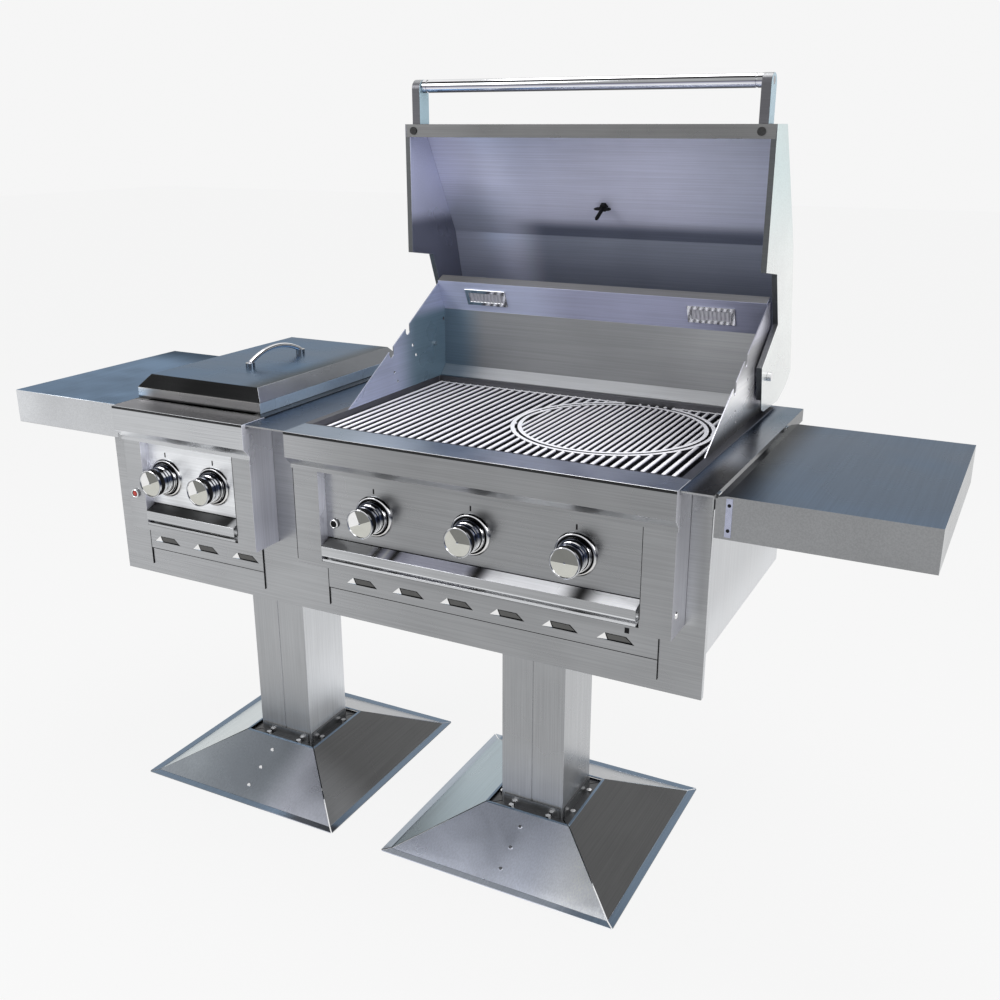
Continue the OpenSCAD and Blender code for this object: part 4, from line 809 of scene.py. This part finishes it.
# %% Hood handle
packed = nodes["hood_handle"]
points = [packed.matrix_world @ v.co for v in packed.data.vertices]
low = Vector([min(p[i] for p in points) for i in range(3)]) * 1000
high = Vector([max(p[i] for p in points) for i in range(3)]) * 1000
middle = (low + high) / 2
radius = (high.y - low.y) / 2
TUBE = [(0, low.x), (7, low.x), (7, low.x + 18), (radius - 1, low.x + 18.2), (radius, low.x + 19),
        (radius, low.x + 28), (radius - 1, low.x + 28.6), (radius - 1, low.x + 30.4), (radius, low.x + 31)]
TUBE += [(r, low.x + high.x - h) for r, h in reversed(TUBE)]
bm = bmesh.new()
turned(bm, TUBE, facing(0, middle.y + FRONT_DEPTH, middle.z, "Y"), 40)
report(finish_piece(bm, "hood_handle_turned", "hood", tube_chrome, ("hood_handle",), smooth=35))

# %% [markdown]
# ### Thermometer
# A round dial sits in a pressed case on the hood's outside. Its stem goes through the sheet, and a nut with
# two wings holds it from inside. Case, stem and nut are turned; the wings are two flattened balls, which
# blend into the nut without any modelling of the casting.

# %% The thermometer's case, stem and nut
gauge = Matrix.Translation((0.163, 0.2588, 1.2871)) @ Matrix.Rotation(math.radians(-60.4), 4, "X")
DIAL = [(0, 0), (38, 0), (38, 12.4), (37.2, 13.8), (35.4, 13.8), (34, 12.6), (34, 10), (0, 10)]
STEM = [(0, 0.3), (4, 0.3), (4, -46), (2.4, -50), (0, -50)]
NUT = [(4, -2), (9.2, -2), (9.2, -10), (7.4, -11), (4, -11)]
WHITE_FACE, DARK, RED = 1, 2, 3


def tint(verts, index):
    for face in {f for vert in verts for f in vert.link_faces}:
        face.material_index = index


bm = bmesh.new()
turned(bm, DIAL, gauge, 48)
paint(bm, gauge, lambda r, h, angle: WHITE_FACE if r < 34 and 9 < h < 10.5 else 0)
turned(bm, STEM, gauge, 16)
turned(bm, NUT, gauge, 6)
inside = gauge.inverted()
for face in bm.faces:
    if (inside @ face.calc_center_median()).z * 1000 < -1:
        face.material_index = DARK
for side in (-1, 1):
    wing = bmesh.ops.create_uvsphere(bm, u_segments=14, v_segments=8, radius=0.0085)["verts"]
    for vert in wing:
        flat = Vector((vert.co.x * 1.15 + side * 0.0095, vert.co.y * 0.3, vert.co.z * 0.62 - 0.0125))
        vert.co = gauge @ flat
    tint(wing, DARK)
print("thermometer so far:", len(bm.faces), "faces")

# %% [markdown]
# The dial has tick marks and a red hand, and no figures. They could be a printed picture, but small raised
# bars need no image and stay sharp from close by.

# %% The dial's ticks and hand
TICKS, FIRST_TICK, TICK_ARC = 25, 225, 270
for k in range(TICKS):
    turn = math.radians(FIRST_TICK - k * TICK_ARC / (TICKS - 1))
    long = 6 if k % 4 == 0 else 3.5
    mark = bmesh.ops.create_cube(bm, size=1.0)["verts"]
    for vert in mark:
        r, side, h = 31 - long / 2 + vert.co.x * long, vert.co.y * 0.8, 10 + vert.co.z * 0.5
        right = r * math.cos(turn) - side * math.sin(turn)
        up = r * math.sin(turn) + side * math.cos(turn)
        vert.co = gauge @ (Vector((right, up, h)) / 1000)
    tint(mark, DARK)
hand = bmesh.ops.create_cube(bm, size=1.0)["verts"]
for vert in hand:
    reach = vert.co.x + 0.5
    along = 4 - 20 * reach
    wide = vert.co.y * 2 * (1 - reach * 0.8)
    vert.co = gauge @ (Vector((along, along + wide, 11 + vert.co.z * 0.8)) / 1000)
tint(hand, RED)
dial_looks = [chrome, dial_white, black_band, red_plastic]
report(finish_piece(bm, "thermometer_dial", "hood", dial_looks, ("thermometer",), smooth=35))

# %% [markdown]
# ### Lamps
# The two lamps in the light bar have a bright frame round a ribbed lens. The frame is one closed ring of
# six square rows, and the lens is a block with nine rods half sunk in it. A bump pattern would look the
# same from far off, but real rods also shape the edge of the highlight.

# %% The lamps' frames
BAR_MIDDLE, LAMP_APART = 0.167, 0.252
CORNERS = ((-1, -1), (1, -1), (1, 1), (-1, 1))


def ring_of(bm, outer, inner, low, high):
    outer_top = (outer[0] - 0.6, outer[1] - 0.6)
    inner_top = (inner[0] + 0.6, inner[1] + 0.6)
    rows = []
    for (half_x, half_y), z in ((outer, low), (outer, high - 0.5), (outer_top, high), (inner_top, high),
                                (inner, high - 0.5), (inner, low)):
        rows.append([bm.verts.new((x * half_x / 1000, y * half_y / 1000, z / 1000)) for x, y in CORNERS])
    for row, following in zip(rows, rows[1:] + rows[:1]):
        for i in range(4):
            bm.faces.new((row[i], row[(i + 1) % 4], following[(i + 1) % 4], following[i]))
    return [v for row in rows for v in row]


print("lamps at x =", round(BAR_MIDDLE - LAMP_APART, 3), "and", round(BAR_MIDDLE + LAMP_APART, 3))

# %% The lamps
BAR_LEAN = math.atan2(65, -31)
RIBS, RIB_STEP, RIB_RADIUS = 9, 0.0085, 0.0028
bm = bmesh.new()
for side in (-1, 1):
    spot = (BAR_MIDDLE + side * LAMP_APART, (562.5 - FRONT_DEPTH) / 1000, 1.0885)
    lamp_place = Matrix.Translation(spot) @ Matrix.Rotation(BAR_LEAN, 4, "X")
    verts = ring_of(bm, (49, 19.5), (40, 11), 0.05, 2.4)
    glass = bmesh.ops.create_cube(bm, size=1.0)["verts"]
    for vert in glass:
        vert.co = Vector((vert.co.x * 0.0872, vert.co.y * 0.0292, vert.co.z * 0.0065 - 0.0028))
    for k in range(RIBS):
        rib = bmesh.ops.create_cone(bm, cap_ends=True, segments=10, radius1=RIB_RADIUS,
                                    radius2=RIB_RADIUS, depth=0.0216)["verts"]
        for vert in rib:
            lying = Matrix.Rotation(math.pi / 2, 3, "X") @ vert.co
            vert.co = lying + Vector(((k - RIBS // 2) * RIB_STEP, 0, 0.0003))
        glass = glass + rib
    tint(glass, 1)
    for vert in verts + glass:
        vert.co = lamp_place @ vert.co
bmesh.ops.recalc_face_normals(bm, faces=bm.faces)
report(finish_piece(bm, "lamps", "station", [tube_chrome, lens_glass], ("lamp_lenses",), smooth=30))

# %% [markdown]
# ## Small sheet-metal details
# ### Louvres
# The louvres' flaps are bent back, so each opening shows a pale cheek on its left and a grey flap behind
# it. The strip behind them could be cut and bent again. Thin plates just in front of it carry the same three
# tones painted on, a lit cheek as painted light, the flap as painted shade and the dark opening as painted
# shadow, and leave the imported strip alone.

# %% Louvre cheeks
LOUVRE_STEP, PLATE = 107, 0.0008
LOUVRES = [154 + (i - 2.5) * LOUVRE_STEP for i in range(6)]
LOUVRES += [-513 + (i - 1) * LOUVRE_STEP for i in range(3)]
CHEEKS = [([(-35.6, 88.3, 583.2), (-20.2, 88.3, 596.8), (-15.5, 89.6, 583.2)], 0),
          ([(-13.2, 88.9, 585.2), (-17.4, 88.4, 595.2), (18.2, 88.4, 595.2), (29.0, 90.1, 585.2)], 1),
          ([(-15.0, 89.4, 583.8), (-19.6, 88.9, 596.5), (19.4, 88.9, 596.5), (33.5, 90.6, 583.8)], 2)]
bm = bmesh.new()
for x in LOUVRES:
    for corners, index in CHEEKS:
        front = [bm.verts.new(Vector((x + a, b - FRONT_DEPTH, c)) / 1000) for a, b, c in corners]
        back = [bm.verts.new(vert.co + Vector((0, PLATE, 0))) for vert in front]
        count = len(front)
        bm.faces.new(front)
        bm.faces.new(back[::-1])
        for i in range(count):
            bm.faces.new((front[i], back[i], back[(i + 1) % count], front[(i + 1) % count]))
        tint(front + back, index)
bmesh.ops.recalc_face_normals(bm, faces=bm.faces)
# White is painted light on the cheek, grey painted shade on the flap, black painted shadow round them.
cheek_looks = [face_white, flap_grey, black_band]
report(finish_piece(bm, "louvre_cheeks", "station", cheek_looks))

# %% [markdown]
# ### Seams
# Thin dark lines show where one sheet ends on another: beside and below the vent rows, and round the frames.
# The real gap is a fraction of a millimetre, too narrow to shade well, so a flat black strip stands in it.

# %% Seams of the front panel and the frames
SEAMS = [((-193.7, 565.2), (501, 566.4)), ((-193.7, 528), (-192.5, 640)), ((500.4, 528), (501.6, 640)),
         ((-668.7, 565.2), (-358, 566.4)), ((-668.7, 528), (-667.5, 640)), ((-358.6, 528), (-357.4, 640))]
bm = bmesh.new()
for (x0, z0), (x1, z1) in SEAMS:
    block(bm, (x0, 87.7, z0), (x1, 90.2, z1))
for x0, x1 in ((-154, 488), (-598, -359)):
    block(bm, (x0, 17.6, 654.2), (x1, 18.3, 656))
block(bm, (464, 17.6, 640), (472, 18.3, 650))
for x0, z0, z1 in ((488.2, 669, 850), (-358.8, 669, 850), (-211.2, 650, 850)):
    block(bm, (x0, 17.7, z0), (x0 + 0.9, 18.3, z1))
report(finish_piece(bm, "panel_seams", "station", black_band))

# %% [markdown]
# ### The frame's screw and the hinge leaf
# One domed screw holds the grill frame's right side. The leaf of the folding shelf's hinge wraps round the
# shelf's front corner and takes two screws. A screw is a short lathe profile, and the leaf is a plate with
# its edges broken, because neither has a form that more work would show.

# %% The frame's screw
SCREW = [(0, 3.2), (3.2, 3.1), (5.6, 2.2), (7, 0.5), (7, -0.5), (0, -0.5)]
bm = bmesh.new()
turned(bm, SCREW, facing(545, 38.5, 680.6, "Y"), 20)
report(finish_piece(bm, "frame_screw", "station", chrome, smooth=35))

# %% The hinge leaf
LEAF_SCREW = [(0, 2.2), (2.2, 2), (3, 1), (3, -1), (0, -1)]
LEAF_FACE = 9.6
bm = bmesh.new()
block(bm, (622.6, 9.2, 842), (633, 10.2, 905))
bmesh.ops.bevel(bm, geom=bm.edges[:], offset=0.0002, segments=2, profile=0.5, affect="EDGES", material=-1)
for z in (853, 894):
    turned(bm, LEAF_SCREW, outwards(628, z, LEAF_FACE), 14)
paint(bm, outwards(628, 873, LEAF_FACE), lambda r, h, angle: 1 if h > 0.45 else 0)
leaf_looks = [leaf_steel, black_band]
report(finish_piece(bm, "hinge_leaf", "folding_shelf", leaf_looks, smooth=35))

# %% [markdown]
# ## Floor, lamps and world
# ### Floor
# The photograph has a plain near-white ground. A lit plane alone would shade from edge to edge, so the
# floor shows that colour itself to the camera and to reflections, and still takes a faint shadow.

# %% The floor
def seen_directly(tree):
    rays = add(tree, "LightPath")
    seen = rays.outputs["Is Camera Ray"]
    for kind in ("Is Glossy Ray", "Is Transmission Ray"):
        seen = add(tree, "Math", {0: seen, 1: rays.outputs[kind]}, operation="MAXIMUM").outputs[0]
    return seen


GROUND, OWN_SHARE = 0.924, 0.93
floor_look, tree, shader = start("floor_look", 0.0, 0.9)
shader.inputs["Base Color"].default_value = (0.9, 0.9, 0.9, 1)
share = times(tree, seen_directly(tree), OWN_SHARE)
glow = add(tree, "Emission", {"Color": (GROUND, GROUND, GROUND), "Strength": 1.0})
both = add(tree, "MixShader", {0: share, 1: shader.outputs[0], 2: glow.outputs[0]})
tree.links.new(both.outputs[0], tree.nodes["Material Output"].inputs["Surface"])
bm = bmesh.new()
bmesh.ops.create_grid(bm, x_segments=1, y_segments=1, size=20.0)
floor_mesh = bpy.data.meshes.new("floor")
bm.to_mesh(floor_mesh)
bm.free()
floor = bpy.data.objects.new("floor", floor_mesh)
floor_mesh.materials.append(floor_look)
scene.collection.objects.link(floor)
print("floor is", tuple(round(v, 1) for v in floor.dimensions))

# %% [markdown]
# ### Lamps
# Studio pictures of steel are lit by large soft boxes, as a small lamp would leave hard spots. Three broad
# area lamps do the same: one from the left, a weaker one from the right and one overhead.

# %% The lamps of the studio
AIM = Vector((0, 0, 0.8))


def lamp(name, place, size, power):
    light = bpy.data.objects.new(name, bpy.data.lights.new(name, "AREA"))
    light.data.shape = "SQUARE"
    light.data.size = size
    light.data.energy = power
    light.location = place
    light.rotation_euler = (AIM - Vector(place)).to_track_quat("-Z", "Y").to_euler()
    scene.collection.objects.link(light)


lamp("key", (-2.2, -2.6, 3.0), 1.8, 60)
lamp("fill", (3.0, -0.6, 2.2), 1.8, 40)
lamp("overhead", (0, 0.3, 3.4), 2.0, 40)

# %% [markdown]
# ### World
# An even white world fills the shadows and closes the view behind the floor. It lights a little less
# strongly than it looks, so that the lamps still model the folds.

# %% The world
LIGHTS_AS, LOOKS_AS = 0.75, 0.92
world = bpy.data.worlds.new("studio")
scene.world = world
world.use_nodes = True
tree = world.node_tree
level = between(tree, seen_directly(tree), 0.0, 1.0, LIGHTS_AS, LOOKS_AS)
tree.nodes["Background"].inputs["Color"].default_value = (1, 1, 1, 1)
tree.links.new(level, tree.nodes["Background"].inputs["Strength"])
scene.view_settings.view_transform = "Standard"
print("view transform:", scene.view_settings.view_transform)
